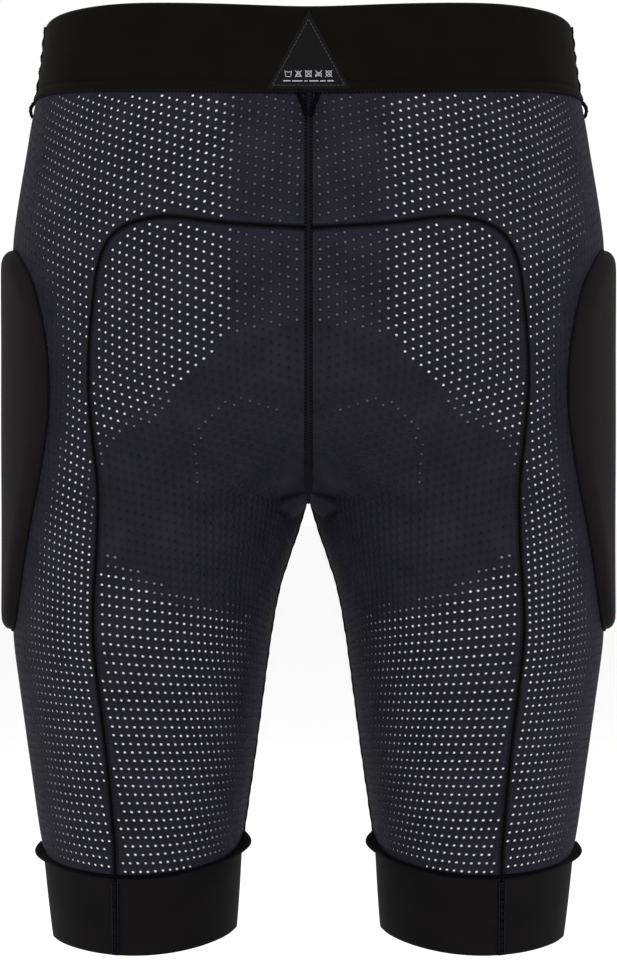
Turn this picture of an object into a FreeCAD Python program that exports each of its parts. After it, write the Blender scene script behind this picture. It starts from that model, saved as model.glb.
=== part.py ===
import FreeCAD, Part
import math
import os

import Sketcher

# Padded impact shorts: an elastic waistband, six knitted mesh panels, raised overlock seams, elastic
# leg bands, a seat pad and two hip protectors that slide out of pockets on the outside of the hips.
# +Z is up, -Y is the wearer's back and +X is the wearer's right. The origin is the centre of the
# waist opening, so every height is a drop below the waist's top edge.

doc = FreeCAD.newDocument("padded_impact_shorts")
sheet = doc.addObject("Spreadsheet::Sheet", "Sheet")

# Horizontal sections of the worn shape, from the top down: drop, half width, half depth and the
# section's centre in y. Between the hip and the seat the trunk is a straight elliptic cylinder, so
# that the hip protectors can slide straight up.
TRUNK_SECTIONS = {
    "waist": (0, 146.0, 108, 0),
    "band": (45, 150.0, 112, -2),
    "upper_hip": (74, 154.5, 119, -4),
    "mid_hip": (96, 158.5, 123.5, -5),
    "hip": (119, 162.0, 128, -6),
    "seat": (212, 162.0, 128, -6),
    "crotch": (262, 153.0, 98, -6),
}
# The legs' sections: drop, half width, half depth, centre in x (right leg) and centre in y.
LEG_SECTIONS = {
    "root": (216, 80.4, 93.0, 81.3, -6),
    "fork": (260, 80.4, 93.0, 81.3, -6),
    "thigh": (306, 72.6, 88.5, 89.2, -6),
    "pocket_foot_level": (334, 70.2, 87.3, 91.6, -6),
    "mid_thigh": (392, 62.5, 80.0, 91.5, -3),
    "low_thigh": (439, 56.6, 72.0, 91.4, 0),
    "cuff": (458, 53.8, 68.0, 90.9, 1),
    "hem": (500, 50.1, 63.0, 89.9, 3),
}
DIMENSIONS = {
    # Layers, as distances inwards from the outer surface of the mesh.
    "fabric": 1.2,
    "inner_ply_near": 1.4,
    "inner_ply_far": 2.2,
    "second_ply_near": 2.4,
    "second_ply_far": 3.2,
    "cushion_far": 9.0,
    # The waist elastic stops short of the waistband's two edges.
    "elastic_margin": 2.4,
    # Seams stand outwards.
    "seam_rise": 1.6,
    "seam_half_width": 2.2,
    "centre_seam_half_width": 1.5,
    "band_seam_half_width": 2.0,
    # The arch-shaped seam of the rear panel.
    "arch_top_drop": 115,
    "arch_corner_in": 82,
    "arch_corner_out": 117.5,
    "arch_corner_drop": 151,
    "arch_corner_radius": 38,
    "arch_hip_out": 118,
    "arch_hip_drop": 205,
    "arch_thigh_out": 113.5,
    "arch_thigh_drop": 330,
    "arch_hem_out": 101.5,
    # The seam between the side panel and the front panel.
    "front_seam_top_out": 96,
    "front_seam_hip_out": 118,
    "front_seam_hip_drop": 195,
    "front_seam_hem_out": 108,
    # The hip pocket, seen from the side, about the hip's own centre line.
    "pocket_top_drop": 124,
    "pocket_shoulder_drop": 141,
    "pocket_wide_top_drop": 174,
    "pocket_wide_low_drop": 222,
    "pocket_heel_drop": 290,
    "pocket_foot_drop": 329,
    "pocket_top_half": 32,
    "pocket_shoulder_half": 54,
    "pocket_wide_half": 70,
    "pocket_heel_half": 48.5,
    "pocket_foot_half": 28,
    "pocket_corner_radius": 40,
    "pocket_side_radius": 60,
    "pocket_wall": 1.2,
    "pocket_proud": 6.5,
    "pocket_ply": 0.8,
    "pocket_lining_margin": 9,
    "pocket_seam_width": 2.5,
    # The hip protector, widest at its top so that it draws straight up.
    "pad_gap": 0.6,
    "pad_proud": 5.4,
    "pad_top_drop": 143,
    "pad_waist_drop": 250,
    "pad_foot_drop": 326.5,
    "pad_half": 49,
    "pad_foot_half": 24,
    "mouth_half": 51.5,
    "mouth_low_drop": 161,
    # The seat pad, and the two cushions under the sit bones.
    "chamois_shoulder_out": 44,
    "chamois_shoulder_drop": 175,
    "chamois_wing_out": 106,
    "chamois_wing_drop": 228,
    "chamois_wing_low_drop": 284,
    "chamois_foot_out": 58,
    "chamois_foot_drop": 313,
    "chamois_front_half": 38,
    "chamois_front_top_drop": 186,
    "chamois_edge": 3,
    "lobe_inner": 14,
    "lobe_outer": 62,
    "lobe_top_drop": 206,
    "lobe_low_drop": 251,
    "lobe_shoulder_drop": 238,
    "lobe_radius": 60,
    "centre_cushion_half": 12,
    "centre_cushion_reach": 60,
    "centre_cushion_top_drop": 240,
    # The triangular label.
    "label_half": 22.7,
    "label_centre": 0,
    "label_apex_drop": 2.5,
    "label_base_drop": 43,
    # How far the tools reach past the garment, the gap that keeps two offsets of one line apart, and
    # the radius that an ellipse has before its own sizes are bound.
    "reach": 200,
    "overrun": 6,
    "hairline": 0.01,
    "start_radius": 400,
}


def fill_sheet():
    """Put each driving dimension in its own row, with the alias that the objects use."""
    cells = dict(DIMENSIONS)
    for name, (drop, width, depth, centre_y) in TRUNK_SECTIONS.items():
        cells.update({name + "_drop": drop, name + "_half_width": width,
                      name + "_half_depth": depth, name + "_centre_y": centre_y})
    for name, (drop, width, depth, centre_x, centre_y) in LEG_SECTIONS.items():
        cells.update({name + "_drop": drop, name + "_half_width": width,
                      name + "_half_depth": depth, name + "_centre_x": centre_x,
                      name + "_centre_y": centre_y})
    for row, (alias, value) in enumerate(cells.items(), start=1):
        sheet.set("A%d" % row, alias)
        sheet.set("B%d" % row, str(value))
        sheet.setAlias("B%d" % row, alias)
    doc.recompute()


def cell(alias):
    return float(getattr(sheet, alias))


def number(word):
    """The value of a cell, or its negative when the word starts with a minus sign."""
    if word.startswith("-"):
        return -cell(word[1:])
    return cell(word)


def reference(word):
    """The same word as an expression."""
    if word.startswith("-"):
        return "-Sheet." + word[1:]
    return "Sheet." + word


def ellipse(name, across, along, centre_x, centre_y, height):
    """A horizontal ellipse whose longer half is the across one, all sizes being expressions."""
    section = doc.addObject("Part::Ellipse", name)
    section.MajorRadius = cell("start_radius")
    section.setExpression("MajorRadius", across)
    section.setExpression("MinorRadius", along)
    section.setExpression("Placement.Base.x", centre_x)
    section.setExpression("Placement.Base.y", centre_y)
    section.setExpression("Placement.Base.z", height)
    return section


def ruled_loft(name, sections):
    loft = doc.addObject("Part::Loft", name)
    loft.Sections = sections
    loft.Solid = True
    loft.Ruled = True
    return loft


def trunk_loft(tag, inset):
    """The trunk, with every section drawn in by the inset and its top running past the waist."""
    names = list(TRUNK_SECTIONS)
    sections = []
    for index, name in enumerate(["waist"] + names):
        height = "-Sheet.%s_drop" % name
        if index == 0:
            height += " + Sheet.overrun"
        if name == "crotch":
            height += " + " + inset
        sections.append(ellipse("trunk_%s_%s_%d" % (tag, name, index),
                                "Sheet.%s_half_width - %s" % (name, inset),
                                "Sheet.%s_half_depth - %s" % (name, inset),
                                "0", "Sheet.%s_centre_y" % name, height))
    return ruled_loft("trunk_" + tag, sections)


def leg_loft(tag, inset):
    """The right leg, from inside the trunk down past the hem; its depth is its longer side."""
    sections = []
    for index, name in enumerate(list(LEG_SECTIONS) + ["hem"]):
        height = "-Sheet.%s_drop" % name
        if index == len(LEG_SECTIONS):
            height += " - Sheet.overrun"
        if name == "root":
            height += " - " + inset
        section = ellipse("leg_%s_%s_%d" % (tag, name, index),
                          "Sheet.%s_half_depth - %s" % (name, inset),
                          "Sheet.%s_half_width - %s" % (name, inset),
                          "Sheet.%s_centre_x" % name, "Sheet.%s_centre_y" % name, height)
        section.Placement.Rotation = FreeCAD.Rotation(FreeCAD.Vector(0, 0, 1), 90)
        sections.append(section)
    return ruled_loft("leg_" + tag, sections)


def mirrored(name, source):
    """The left-hand copy of a right-hand object."""
    copy = doc.addObject("Part::Mirroring", name)
    copy.Source = source
    copy.Base = (0, 0, 0)
    copy.Normal = (1, 0, 0)
    return copy


def fused(name, shapes):
    union = doc.addObject("Part::MultiFuse", name)
    union.Shapes = shapes
    return union


def common(name, shapes):
    overlap = doc.addObject("Part::MultiCommon", name)
    overlap.Shapes = shapes
    return overlap


def cut(name, base, tool):
    difference = doc.addObject("Part::Cut", name)
    difference.Base = base
    difference.Tool = tool
    return difference


def skin(tag, inset):
    """The solid inside one layer's surface: the trunk and both legs in one."""
    leg = leg_loft(tag, inset)
    return fused("skin_" + tag, [trunk_loft(tag, inset), leg, mirrored("left_leg_" + tag, leg)])


def box(name, low, high):
    """A box between two corners, each a triple of expressions."""
    block = doc.addObject("Part::Box", name)
    for axis, size, first, last in zip("xyz", ("Length", "Width", "Height"), low, high):
        block.setExpression("Placement.Base." + axis, first)
        block.setExpression(size, "(%s) - (%s)" % (last, first))
    return block


def bulged(start, end, radius):
    """The arc between two points whose centre is on the right of the way from start to end."""
    chord = end - start
    half = chord.Length / 2
    side = FreeCAD.Vector(-chord.y, chord.x, 0).normalize()
    rise = radius - math.sqrt(radius ** 2 - half ** 2)
    return Part.Arc(start, (start + end) * 0.5 + side * rise, end)


def outline(name, rotation, corners):
    """A closed sketch. A corner is (across, up) or, after an arc of that radius, (across, up, radius)."""
    sketch = doc.addObject("Sketcher::SketchObject", name)
    sketch.Placement = FreeCAD.Placement(FreeCAD.Vector(), rotation)
    points = [FreeCAD.Vector(number(corner[0]), number(corner[1]), 0) for corner in corners]
    count = len(corners)
    ends = []
    for index, corner in enumerate(corners):
        start = points[index - 1]
        end = points[index]
        if len(corner) == 3:
            arc = sketch.addGeometry(bulged(start, end, number(corner[2])))
            forwards = sketch.getPoint(arc, 1).distanceToPoint(start) < 0.001
            ends.append((arc, 1, 2) if forwards else (arc, 2, 1))
            radius = sketch.addConstraint(Sketcher.Constraint("Radius", arc, number(corner[2])))
            sketch.setExpression("Constraints[%d]" % radius, reference(corner[2]))
        else:
            ends.append((sketch.addGeometry(Part.LineSegment(start, end)), 1, 2))
    for index, corner in enumerate(corners):
        edge, _, last = ends[index]
        follower, first, _ = ends[(index + 1) % count]
        sketch.addConstraint(Sketcher.Constraint("Coincident", edge, last, follower, first))
        for kind, word in (("DistanceX", corner[0]), ("DistanceY", corner[1])):
            place = sketch.addConstraint(Sketcher.Constraint(kind, -1, 1, edge, last, number(word)))
            sketch.setExpression("Constraints[%d]" % place, reference(word))
    return sketch


SEEN_FROM_BEHIND = FreeCAD.Rotation(FreeCAD.Vector(1, 0, 0), 90)
SEEN_FROM_THE_SIDE = FreeCAD.Rotation(FreeCAD.Vector(1, 1, 1), 120)
BACKWARDS = FreeCAD.Vector(0, -1, 0)
FORWARDS = FreeCAD.Vector(0, 1, 0)
SIDEWAYS = FreeCAD.Vector(1, 0, 0)


def prism(name, profile, direction):
    """A profile pushed as far as the tools reach."""
    block = doc.addObject("Part::Extrusion", name)
    block.Base = profile
    block.DirMode = "Custom"
    block.Dir = direction
    block.setExpression("LengthFwd", "Sheet.reach")
    block.Solid = True
    return block


def grown(name, profile, margin):
    """A profile with its edge moved outwards by an expression."""
    offset = doc.addObject("Part::Offset2D", name)
    offset.Source = profile
    offset.setExpression("Value", margin)
    return offset


def strip(name, profile, direction, inner, outer):
    """The band between two offsets of a profile, pushed along a direction."""
    return cut(name, prism(name + "_outer", grown(name + "_outer_line", profile, outer), direction),
               prism(name + "_inner", grown(name + "_inner_line", profile, inner), direction))


def elliptic_cylinder(name, inset, low, high):
    """The hip's own elliptic cylinder, drawn in by the inset, between two heights."""
    section = ellipse(name + "_section", "Sheet.hip_half_width - (%s)" % inset,
                      "Sheet.hip_half_depth - (%s)" % inset, "0", "Sheet.hip_centre_y", low)
    block = doc.addObject("Part::Extrusion", name)
    block.Base = section
    block.DirMode = "Custom"
    block.Dir = FreeCAD.Vector(0, 0, 1)
    block.setExpression("LengthFwd", "(%s) - (%s)" % (high, low))
    block.Solid = True
    return block


fill_sheet()
LEFT = "-Sheet.reach"
RIGHT = "Sheet.reach"
BACK = "-Sheet.reach"
FRONT = "Sheet.reach"

# The layers: each is the space between two skins.
raised_skin = skin("raised", "(-Sheet.seam_rise)")
outer_skin = skin("outer", "0")
fabric_skin = skin("fabric", "Sheet.fabric")
inner_near_skin = skin("inner_near", "Sheet.inner_ply_near")
inner_far_skin = skin("inner_far", "Sheet.inner_ply_far")
second_near_skin = skin("second_near", "Sheet.second_ply_near")
second_far_skin = skin("second_far", "Sheet.second_ply_far")
cushion_skin = skin("cushion", "Sheet.cushion_far")

ridge_layer = cut("ridge_layer", raised_skin, outer_skin)
fabric_layer = cut("fabric_layer", outer_skin, fabric_skin)
inner_layer = cut("inner_layer", inner_near_skin, inner_far_skin)
second_layer = cut("second_layer", second_near_skin, second_far_skin)
cushion_layer = cut("cushion_layer", second_near_skin, cushion_skin)

sub_parts = []


def piece(label, shape):
    """Name an object as one of the garment's sub-parts."""
    shape.Label = label
    sub_parts.append(shape)
    return shape


def pair(label, shape):
    """A right-hand sub-part and its mirrored left-hand twin."""
    piece(label + "_right", shape)
    piece(label + "_left", mirrored("mirrored_" + label, shape))
    return shape


# Zones between heights, all the way round or on the right side only.
WAIST_LOW = "-Sheet.band_drop"
CUFF_TOP = "-Sheet.cuff_drop"
HEM = "-Sheet.hem_drop"
BAND_SEAM = "Sheet.band_seam_half_width"
CENTRE_SEAM = "Sheet.centre_seam_half_width"
HAIRLINE = "Sheet.hairline"
mesh_zone = box("mesh_zone", ("0", BACK, CUFF_TOP), (RIGHT, FRONT, WAIST_LOW))
seam_zone = box("seam_zone", (CENTRE_SEAM, BACK, CUFF_TOP + " + " + BAND_SEAM),
                (RIGHT, FRONT, WAIST_LOW + " - " + BAND_SEAM))


def make_waistband():
    back_zone = box("waist_back_zone", (LEFT, BACK, WAIST_LOW), (RIGHT, "0", "0"))
    front_zone = box("waist_front_zone", (LEFT, "0", WAIST_LOW), (RIGHT, FRONT, "0"))
    piece("waistband_back", common("waistband_back", [fabric_layer, back_zone]))
    piece("waistband_front", common("waistband_front", [fabric_layer, front_zone]))
    elastic_zone = box("elastic_zone", (LEFT, BACK, WAIST_LOW + " + Sheet.elastic_margin"),
                       (RIGHT, FRONT, "-Sheet.elastic_margin"))
    piece("waist_elastic", common("waist_elastic", [inner_layer, elastic_zone]))
    lining_zone = box("lining_zone", (LEFT, BACK, WAIST_LOW), (RIGHT, FRONT, "0"))
    piece("waistband_lining", common("waistband_lining", [second_layer, lining_zone]))
    joining_zone = box("joining_zone", (LEFT, BACK, WAIST_LOW + " - " + BAND_SEAM),
                       (RIGHT, FRONT, WAIST_LOW + " + " + BAND_SEAM))
    piece("waist_seam", common("waist_seam", [ridge_layer, joining_zone]))
    side_zone = box("waist_side_zone", ("0", "-" + CENTRE_SEAM, WAIST_LOW + " + " + BAND_SEAM),
                    (RIGHT, CENTRE_SEAM, "0"))
    pair("waistband_side_seam", common("waistband_side_seam", [ridge_layer, side_zone]))
    triangle = outline("label_outline", SEEN_FROM_BEHIND,
                       [("-label_half", "-label_base_drop"), ("label_half", "-label_base_drop"),
                        ("label_centre", "-label_apex_drop")])
    piece("back_label", common("back_label", [ridge_layer, prism("label_prism", triangle, BACKWARDS)]))


def make_panels():
    """The mesh panels and the raised seams between them."""
    arch = outline("arch_outline", SEEN_FROM_BEHIND,
                   [("-arch_corner_in", "-arch_top_drop"),
                    ("arch_corner_in", "-arch_top_drop"),
                    ("arch_corner_out", "-arch_corner_drop", "arch_corner_radius"),
                    ("arch_hip_out", "-arch_hip_drop"),
                    ("arch_thigh_out", "-arch_thigh_drop"),
                    ("arch_hem_out", "-hem_drop"),
                    ("-arch_hem_out", "-hem_drop")])
    front = outline("front_outline", SEEN_FROM_BEHIND,
                    [("-front_seam_top_out", "-waist_drop"),
                     ("front_seam_top_out", "-waist_drop"),
                     ("front_seam_hip_out", "-front_seam_hip_drop"),
                     ("front_seam_hem_out", "-hem_drop"),
                     ("-front_seam_hem_out", "-hem_drop")])
    arch_prism = prism("arch_prism", arch, BACKWARDS)
    front_prism = prism("front_prism", front, FORWARDS)
    pair("rear_panel", common("rear_panel", [fabric_layer, mesh_zone, arch_prism]))
    pair("front_panel", common("front_panel", [fabric_layer, mesh_zone, front_prism]))
    side_zone = cut("side_zone", cut("beside_arch", mesh_zone, arch_prism), front_prism)
    pair("side_panel", common("side_panel", [fabric_layer, side_zone]))
    half = "Sheet.seam_half_width"
    arch_strip = strip("arch_strip", arch, BACKWARDS, "-" + half, half)
    pair("arch_seam", common("arch_seam", [ridge_layer, seam_zone, arch_strip]))
    front_strip = strip("front_strip", front, FORWARDS, "-" + half, half)
    pair("front_side_seam", common("front_side_seam", [ridge_layer, seam_zone, front_strip]))
    seam_top = WAIST_LOW + " - " + BAND_SEAM
    crotch_low = "-Sheet.crotch_drop - Sheet.overrun"
    back_zone = box("centre_back_zone", ("-" + CENTRE_SEAM, BACK, crotch_low),
                    (CENTRE_SEAM, "0", seam_top))
    front_zone = box("centre_front_zone", ("-" + CENTRE_SEAM, "0", crotch_low),
                     (CENTRE_SEAM, FRONT, seam_top))
    piece("centre_back_seam", common("centre_back_seam", [ridge_layer, back_zone]))
    piece("centre_front_seam", common("centre_front_seam", [ridge_layer, front_zone]))
    inner_zone = box("inseam_zone", (CENTRE_SEAM, "-" + CENTRE_SEAM, CUFF_TOP + " + " + BAND_SEAM),
                     ("Sheet.cuff_centre_x", CENTRE_SEAM, "-Sheet.crotch_drop"))
    pair("inseam", common("inseam", [ridge_layer, inner_zone]))


def make_leg_bands():
    band_zone = box("leg_band_zone", ("0", BACK, HEM), (RIGHT, FRONT, CUFF_TOP))
    pair("leg_band", common("leg_band", [fabric_layer, band_zone]))
    joining_zone = box("leg_joining_zone", ("0", BACK, CUFF_TOP + " - " + BAND_SEAM),
                       (RIGHT, FRONT, CUFF_TOP + " + " + BAND_SEAM))
    pair("leg_band_joining_seam", common("leg_band_joining_seam", [ridge_layer, joining_zone]))
    vertical_zone = box("leg_vertical_zone", ("Sheet.arch_hem_out - " + BAND_SEAM, BACK, HEM),
                        ("Sheet.arch_hem_out + " + BAND_SEAM, "0", CUFF_TOP + " - " + BAND_SEAM))
    pair("leg_band_vertical_seam", common("leg_band_vertical_seam", [ridge_layer, vertical_zone]))


def make_hip_pockets():
    """Each hip protector lies in a pocket on the outside of the hip, with its mouth at the top."""
    pocket = outline("pocket_outline", SEEN_FROM_THE_SIDE,
                     [("-pocket_top_half", "-pocket_top_drop", "pocket_corner_radius"),
                      ("pocket_top_half", "-pocket_top_drop"),
                      ("pocket_shoulder_half", "-pocket_shoulder_drop", "pocket_corner_radius"),
                      ("pocket_wide_half", "-pocket_wide_top_drop", "pocket_side_radius"),
                      ("pocket_wide_half", "-pocket_wide_low_drop"),
                      ("pocket_heel_half", "-pocket_heel_drop"),
                      ("pocket_foot_half", "-pocket_foot_drop", "pocket_corner_radius"),
                      ("-pocket_foot_half", "-pocket_foot_drop"),
                      ("-pocket_heel_half", "-pocket_heel_drop", "pocket_corner_radius"),
                      ("-pocket_wide_half", "-pocket_wide_low_drop"),
                      ("-pocket_wide_half", "-pocket_wide_top_drop"),
                      ("-pocket_shoulder_half", "-pocket_shoulder_drop", "pocket_side_radius")])
    protector = outline("protector_outline", SEEN_FROM_THE_SIDE,
                        [("-pad_half", "-pad_top_drop"), ("pad_half", "-pad_top_drop"),
                         ("pad_half", "-pad_waist_drop"), ("pad_foot_half", "-pad_foot_drop"),
                         ("-pad_foot_half", "-pad_foot_drop"), ("-pad_half", "-pad_waist_drop")])
    for profile in (pocket, protector):
        profile.setExpression("Placement.Base.x", "Sheet.fork_centre_x")
        profile.setExpression("Placement.Base.y", "Sheet.hip_centre_y")
    low = "-Sheet.pocket_foot_drop - Sheet.overrun"
    high = "-Sheet.pocket_top_drop + Sheet.overrun"
    under_ply = "-(Sheet.pocket_proud - Sheet.pocket_ply)"
    outer = elliptic_cylinder("pocket_outer", "-Sheet.pocket_proud", low, high)
    cavity = elliptic_cylinder("pocket_cavity", under_ply, low, high)
    mouth = box("mouth_zone",
                ("0", "Sheet.hip_centre_y - Sheet.mouth_half", "-Sheet.mouth_low_drop"),
                (RIGHT, "Sheet.hip_centre_y + Sheet.mouth_half", high))
    room = fused("pocket_room", [prism("pocket_inside",
                                       grown("pocket_inside_line", pocket, "-Sheet.pocket_wall"),
                                       SIDEWAYS), mouth])
    block = common("pocket_block", [outer, prism("pocket_prism", pocket, SIDEWAYS)])
    cover = cut("hip_pocket_cover", cut("pocket_shell", block, common("pocket_hollow", [cavity, room])),
                outer_skin)
    pair("hip_pocket_cover", cover)
    margin = grown("lining_line", pocket, "Sheet.pocket_lining_margin")
    pair("hip_pocket_lining", common("hip_pocket_lining",
                                     [inner_layer, prism("lining_prism", margin, SIDEWAYS)]))
    seam_strip = strip("pocket_strip", pocket, SIDEWAYS, HAIRLINE, "Sheet.pocket_seam_width")
    open_strip = cut("pocket_open_strip", seam_strip, mouth)
    pair("hip_pocket_edge_seam", common("hip_pocket_edge_seam", [ridge_layer, open_strip]))
    foam = cut("pad_layer", elliptic_cylinder("pad_outer", "-Sheet.pad_proud", low, high),
               elliptic_cylinder("pad_inner", "-Sheet.pad_gap", low, high))
    pair("hip_pad", common("hip_pad", [foam, prism("pad_prism", protector, SIDEWAYS)]))


def make_seat_pad():
    """The seat pad lies inside: a thin base with a bound edge, and cushions on its inner side."""
    back = outline("chamois_back_outline", SEEN_FROM_BEHIND,
                   [("-chamois_shoulder_out", "-chamois_shoulder_drop"),
                    ("chamois_shoulder_out", "-chamois_shoulder_drop"),
                    ("chamois_wing_out", "-chamois_wing_drop"),
                    ("chamois_wing_out", "-chamois_wing_low_drop"),
                    ("chamois_foot_out", "-chamois_foot_drop"),
                    ("-chamois_foot_out", "-chamois_foot_drop"),
                    ("-chamois_wing_out", "-chamois_wing_low_drop"),
                    ("-chamois_wing_out", "-chamois_wing_drop")])
    front = outline("chamois_front_outline", SEEN_FROM_BEHIND,
                    [("-chamois_front_half", "-chamois_front_top_drop"),
                     ("chamois_front_half", "-chamois_front_top_drop"),
                     ("chamois_front_half", "-chamois_wing_low_drop"),
                     ("-chamois_front_half", "-chamois_wing_low_drop")])
    footprint = fused("chamois_footprint", [prism("chamois_back_prism", back, BACKWARDS),
                                            prism("chamois_front_prism", front, FORWARDS)])
    piece("chamois_base", common("chamois_base", [inner_layer, footprint]))
    rear_edge = strip("chamois_rear_edge", back, BACKWARDS, "-Sheet.chamois_edge", HAIRLINE)
    piece("chamois_rear_edge_binding", common("chamois_rear_edge_binding", [second_layer, rear_edge]))
    front_edge = strip("chamois_front_edge", front, FORWARDS, "-Sheet.chamois_edge", HAIRLINE)
    piece("chamois_front_edge_binding", common("chamois_front_edge_binding",
                                               [second_layer, front_edge]))
    lobe = outline("lobe_outline", SEEN_FROM_BEHIND,
                   [("lobe_inner", "-lobe_top_drop"),
                    ("lobe_outer", "-lobe_shoulder_drop", "lobe_radius"),
                    ("lobe_outer", "-lobe_low_drop"),
                    ("lobe_inner", "-lobe_low_drop")])
    pair("chamois_cushion", common("chamois_cushion", [cushion_layer,
                                                       prism("lobe_prism", lobe, BACKWARDS)]))
    centre_zone = box("centre_cushion_zone",
                      ("-Sheet.centre_cushion_half", "-Sheet.centre_cushion_reach",
                       "-Sheet.crotch_drop"),
                      ("Sheet.centre_cushion_half", "Sheet.centre_cushion_reach",
                       "-Sheet.centre_cushion_top_drop"))
    piece("chamois_centre_cushion", common("chamois_centre_cushion", [cushion_layer, centre_zone]))


def check_document():
    """Stop if any object failed or any sub-part isn't one valid closed solid."""
    for item in doc.Objects:
        if "Invalid" in item.State or "Error" in item.State:
            raise RuntimeError("%s failed: %s" % (item.Name, item.State))
    for item in sub_parts:
        shape = item.Shape
        if shape.isNull() or not shape.isValid() or not shape.Solids:
            raise RuntimeError("%s has no valid solid" % item.Label)


def write_parts():
    os.makedirs("parts", exist_ok=True)
    for item in sub_parts:
        item.Shape.exportStep(os.path.join("parts", item.Label + ".step"))
        print("%-30s %2d solid, %9.1f mm3" % (item.Label, len(item.Shape.Solids), item.Shape.Volume))


make_waistband()
make_panels()
make_leg_bands()
make_hip_pockets()
make_seat_pad()
doc.recompute()
check_document()
write_parts()
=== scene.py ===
import math

import bpy
import numpy as np
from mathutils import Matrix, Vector
from mathutils.geometry import delaunay_2d_cdt


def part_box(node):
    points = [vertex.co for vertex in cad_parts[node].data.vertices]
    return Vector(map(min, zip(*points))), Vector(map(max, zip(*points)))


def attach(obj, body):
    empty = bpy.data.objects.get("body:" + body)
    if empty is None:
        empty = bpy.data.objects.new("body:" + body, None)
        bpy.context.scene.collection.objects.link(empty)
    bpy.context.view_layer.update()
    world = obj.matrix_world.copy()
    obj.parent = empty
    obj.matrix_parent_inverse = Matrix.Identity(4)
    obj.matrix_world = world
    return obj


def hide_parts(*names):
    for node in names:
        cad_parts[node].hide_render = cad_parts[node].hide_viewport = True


# The looks of the padded impact shorts. Lengths inside this script are millimetres, heights are drops
# below the waist's top edge, and a mesh is turned into metres when it is made. The garment's right
# half is worked out, and the left half is its mirror image. A place on the fabric is (along, drop):
# along is the distance round the body from the outermost side line, positive round the back and
# negative round the front.

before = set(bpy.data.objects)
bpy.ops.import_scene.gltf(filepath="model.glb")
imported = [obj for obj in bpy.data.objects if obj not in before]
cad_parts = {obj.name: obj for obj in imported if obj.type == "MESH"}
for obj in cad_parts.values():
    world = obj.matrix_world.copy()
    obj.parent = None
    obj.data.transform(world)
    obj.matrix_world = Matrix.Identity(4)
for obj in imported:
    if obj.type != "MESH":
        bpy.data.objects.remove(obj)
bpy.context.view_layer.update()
MM = 0.001
LEFT = np.array([-1, 1, 1])
rng = np.random.default_rng(7)

HEM_DROP = -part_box("leg_band_right")[0].z / MM
CUFF_DROP = -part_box("leg_band_right")[1].z / MM
BAND_DROP = -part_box("waistband_back")[0].z / MM
FORK_DROP = 259.5

# ---------------------------------------------------------------- the worn shape
# Sections from the top down: drop, half width, half depth, centre in y.
TRUNK = np.array([(0, 146, 108, 0), (BAND_DROP, 150, 112, -2), (74, 154.5, 119, -4), (96, 158.5, 123.5, -5),
                  (119, 162, 128, -6), (212, 162, 128, -6), (262, 153, 98, -6)], float)
HIP_DROP, HIP_WIDTH, HIP_DEPTH, HIP_Y = TRUNK[4]
# The same for the right leg, with the centre in x before the centre in y.
LEG = np.array([(216, 80.4, 93, 81.3, -6), (260, 80.4, 93, 81.3, -6), (306, 72.6, 88.5, 89.2, -6),
                (334, 70.2, 87.3, 91.6, -6), (392, 62.5, 80, 91.5, -3), (439, 56.6, 72, 91.4, 0),
                (CUFF_DROP, 53.8, 68, 90.9, 1), (HEM_DROP, 50.1, 63, 89.9, 3)], float)
STEP = 0.5
OVER = 12
drops = np.arange(-OVER, HEM_DROP + OVER + STEP, STEP)
ALONG_POINTS = 240
LEG_START = LEG[0, 0]
SEAT_START = 184
SEAT_ROUNDNESS = 2.2
BLEND = 28
MERGE_EARLY = 32
MERGE_LENGTH = 72
MERGE_LATE = 5
SMOOTHING = 7


def smooth(t):
    t = np.clip(t, 0, 1)
    return t * t * (3 - 2 * t)


def unit(vectors):
    return vectors / np.maximum(np.linalg.norm(vectors, axis=-1, keepdims=True), 1e-9)


def run_along(line):
    """How far along a line each of its points is."""
    return np.concatenate([[0], np.cumsum(np.linalg.norm(np.diff(line, axis=0), axis=1))])


def profile(table, column):
    """One column of a section table at every drop, run on straight past its ends and softened."""
    reach = int(4 * SMOOTHING / STEP)
    wide = np.arange(drops[0] - reach * STEP, drops[-1] + (reach + 0.5) * STEP, STEP)
    values = np.interp(wide, table[:, 0], table[:, column])
    for end, inner in ((0, 1), (-1, -2)):
        slope = (table[end, column] - table[inner, column]) / (table[end, 0] - table[inner, 0])
        past = wide < table[0, 0] if end == 0 else wide > table[-1, 0]
        values = np.where(past, table[end, column] + slope * (wide - table[end, 0]), values)
    kernel = np.exp(-0.5 * (np.arange(-reach, reach + 1) * STEP / SMOOTHING) ** 2)
    return np.convolve(values, kernel / kernel.sum(), "valid")[:len(drops)]


trunk_width = profile(TRUNK, 1)
trunk_depth = profile(TRUNK, 2)
low_seat = np.clip((drops - SEAT_START) / (FORK_DROP - SEAT_START), 0, 1)
round_seat = HIP_DEPTH * (1 - low_seat ** SEAT_ROUNDNESS) ** (1 / SEAT_ROUNDNESS)
trunk_depth = np.where(drops > SEAT_START, np.maximum(round_seat, 0.01), trunk_depth)
leg_width = profile(LEG, 1)
leg_depth = profile(LEG, 2)
axis_x = profile(LEG, 3)
axis_x[drops < LEG_START] = LEG[0, 3]
centre_y = np.where(drops < (TRUNK[-3, 0] + LEG_START) / 2, profile(TRUNK, 3), profile(LEG, 4))


def from_axis(cos, sin, offset, a, b):
    """How far the trunk's ellipse is from the leg's axis in each direction."""
    qa = cos ** 2 / a ** 2 + sin ** 2 / b ** 2
    qb = 2 * offset * cos / a ** 2
    qc = offset ** 2 / a ** 2 - 1
    return (-qb + np.sqrt(qb ** 2 - 4 * qa * qc)) / (2 * qa)


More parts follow.
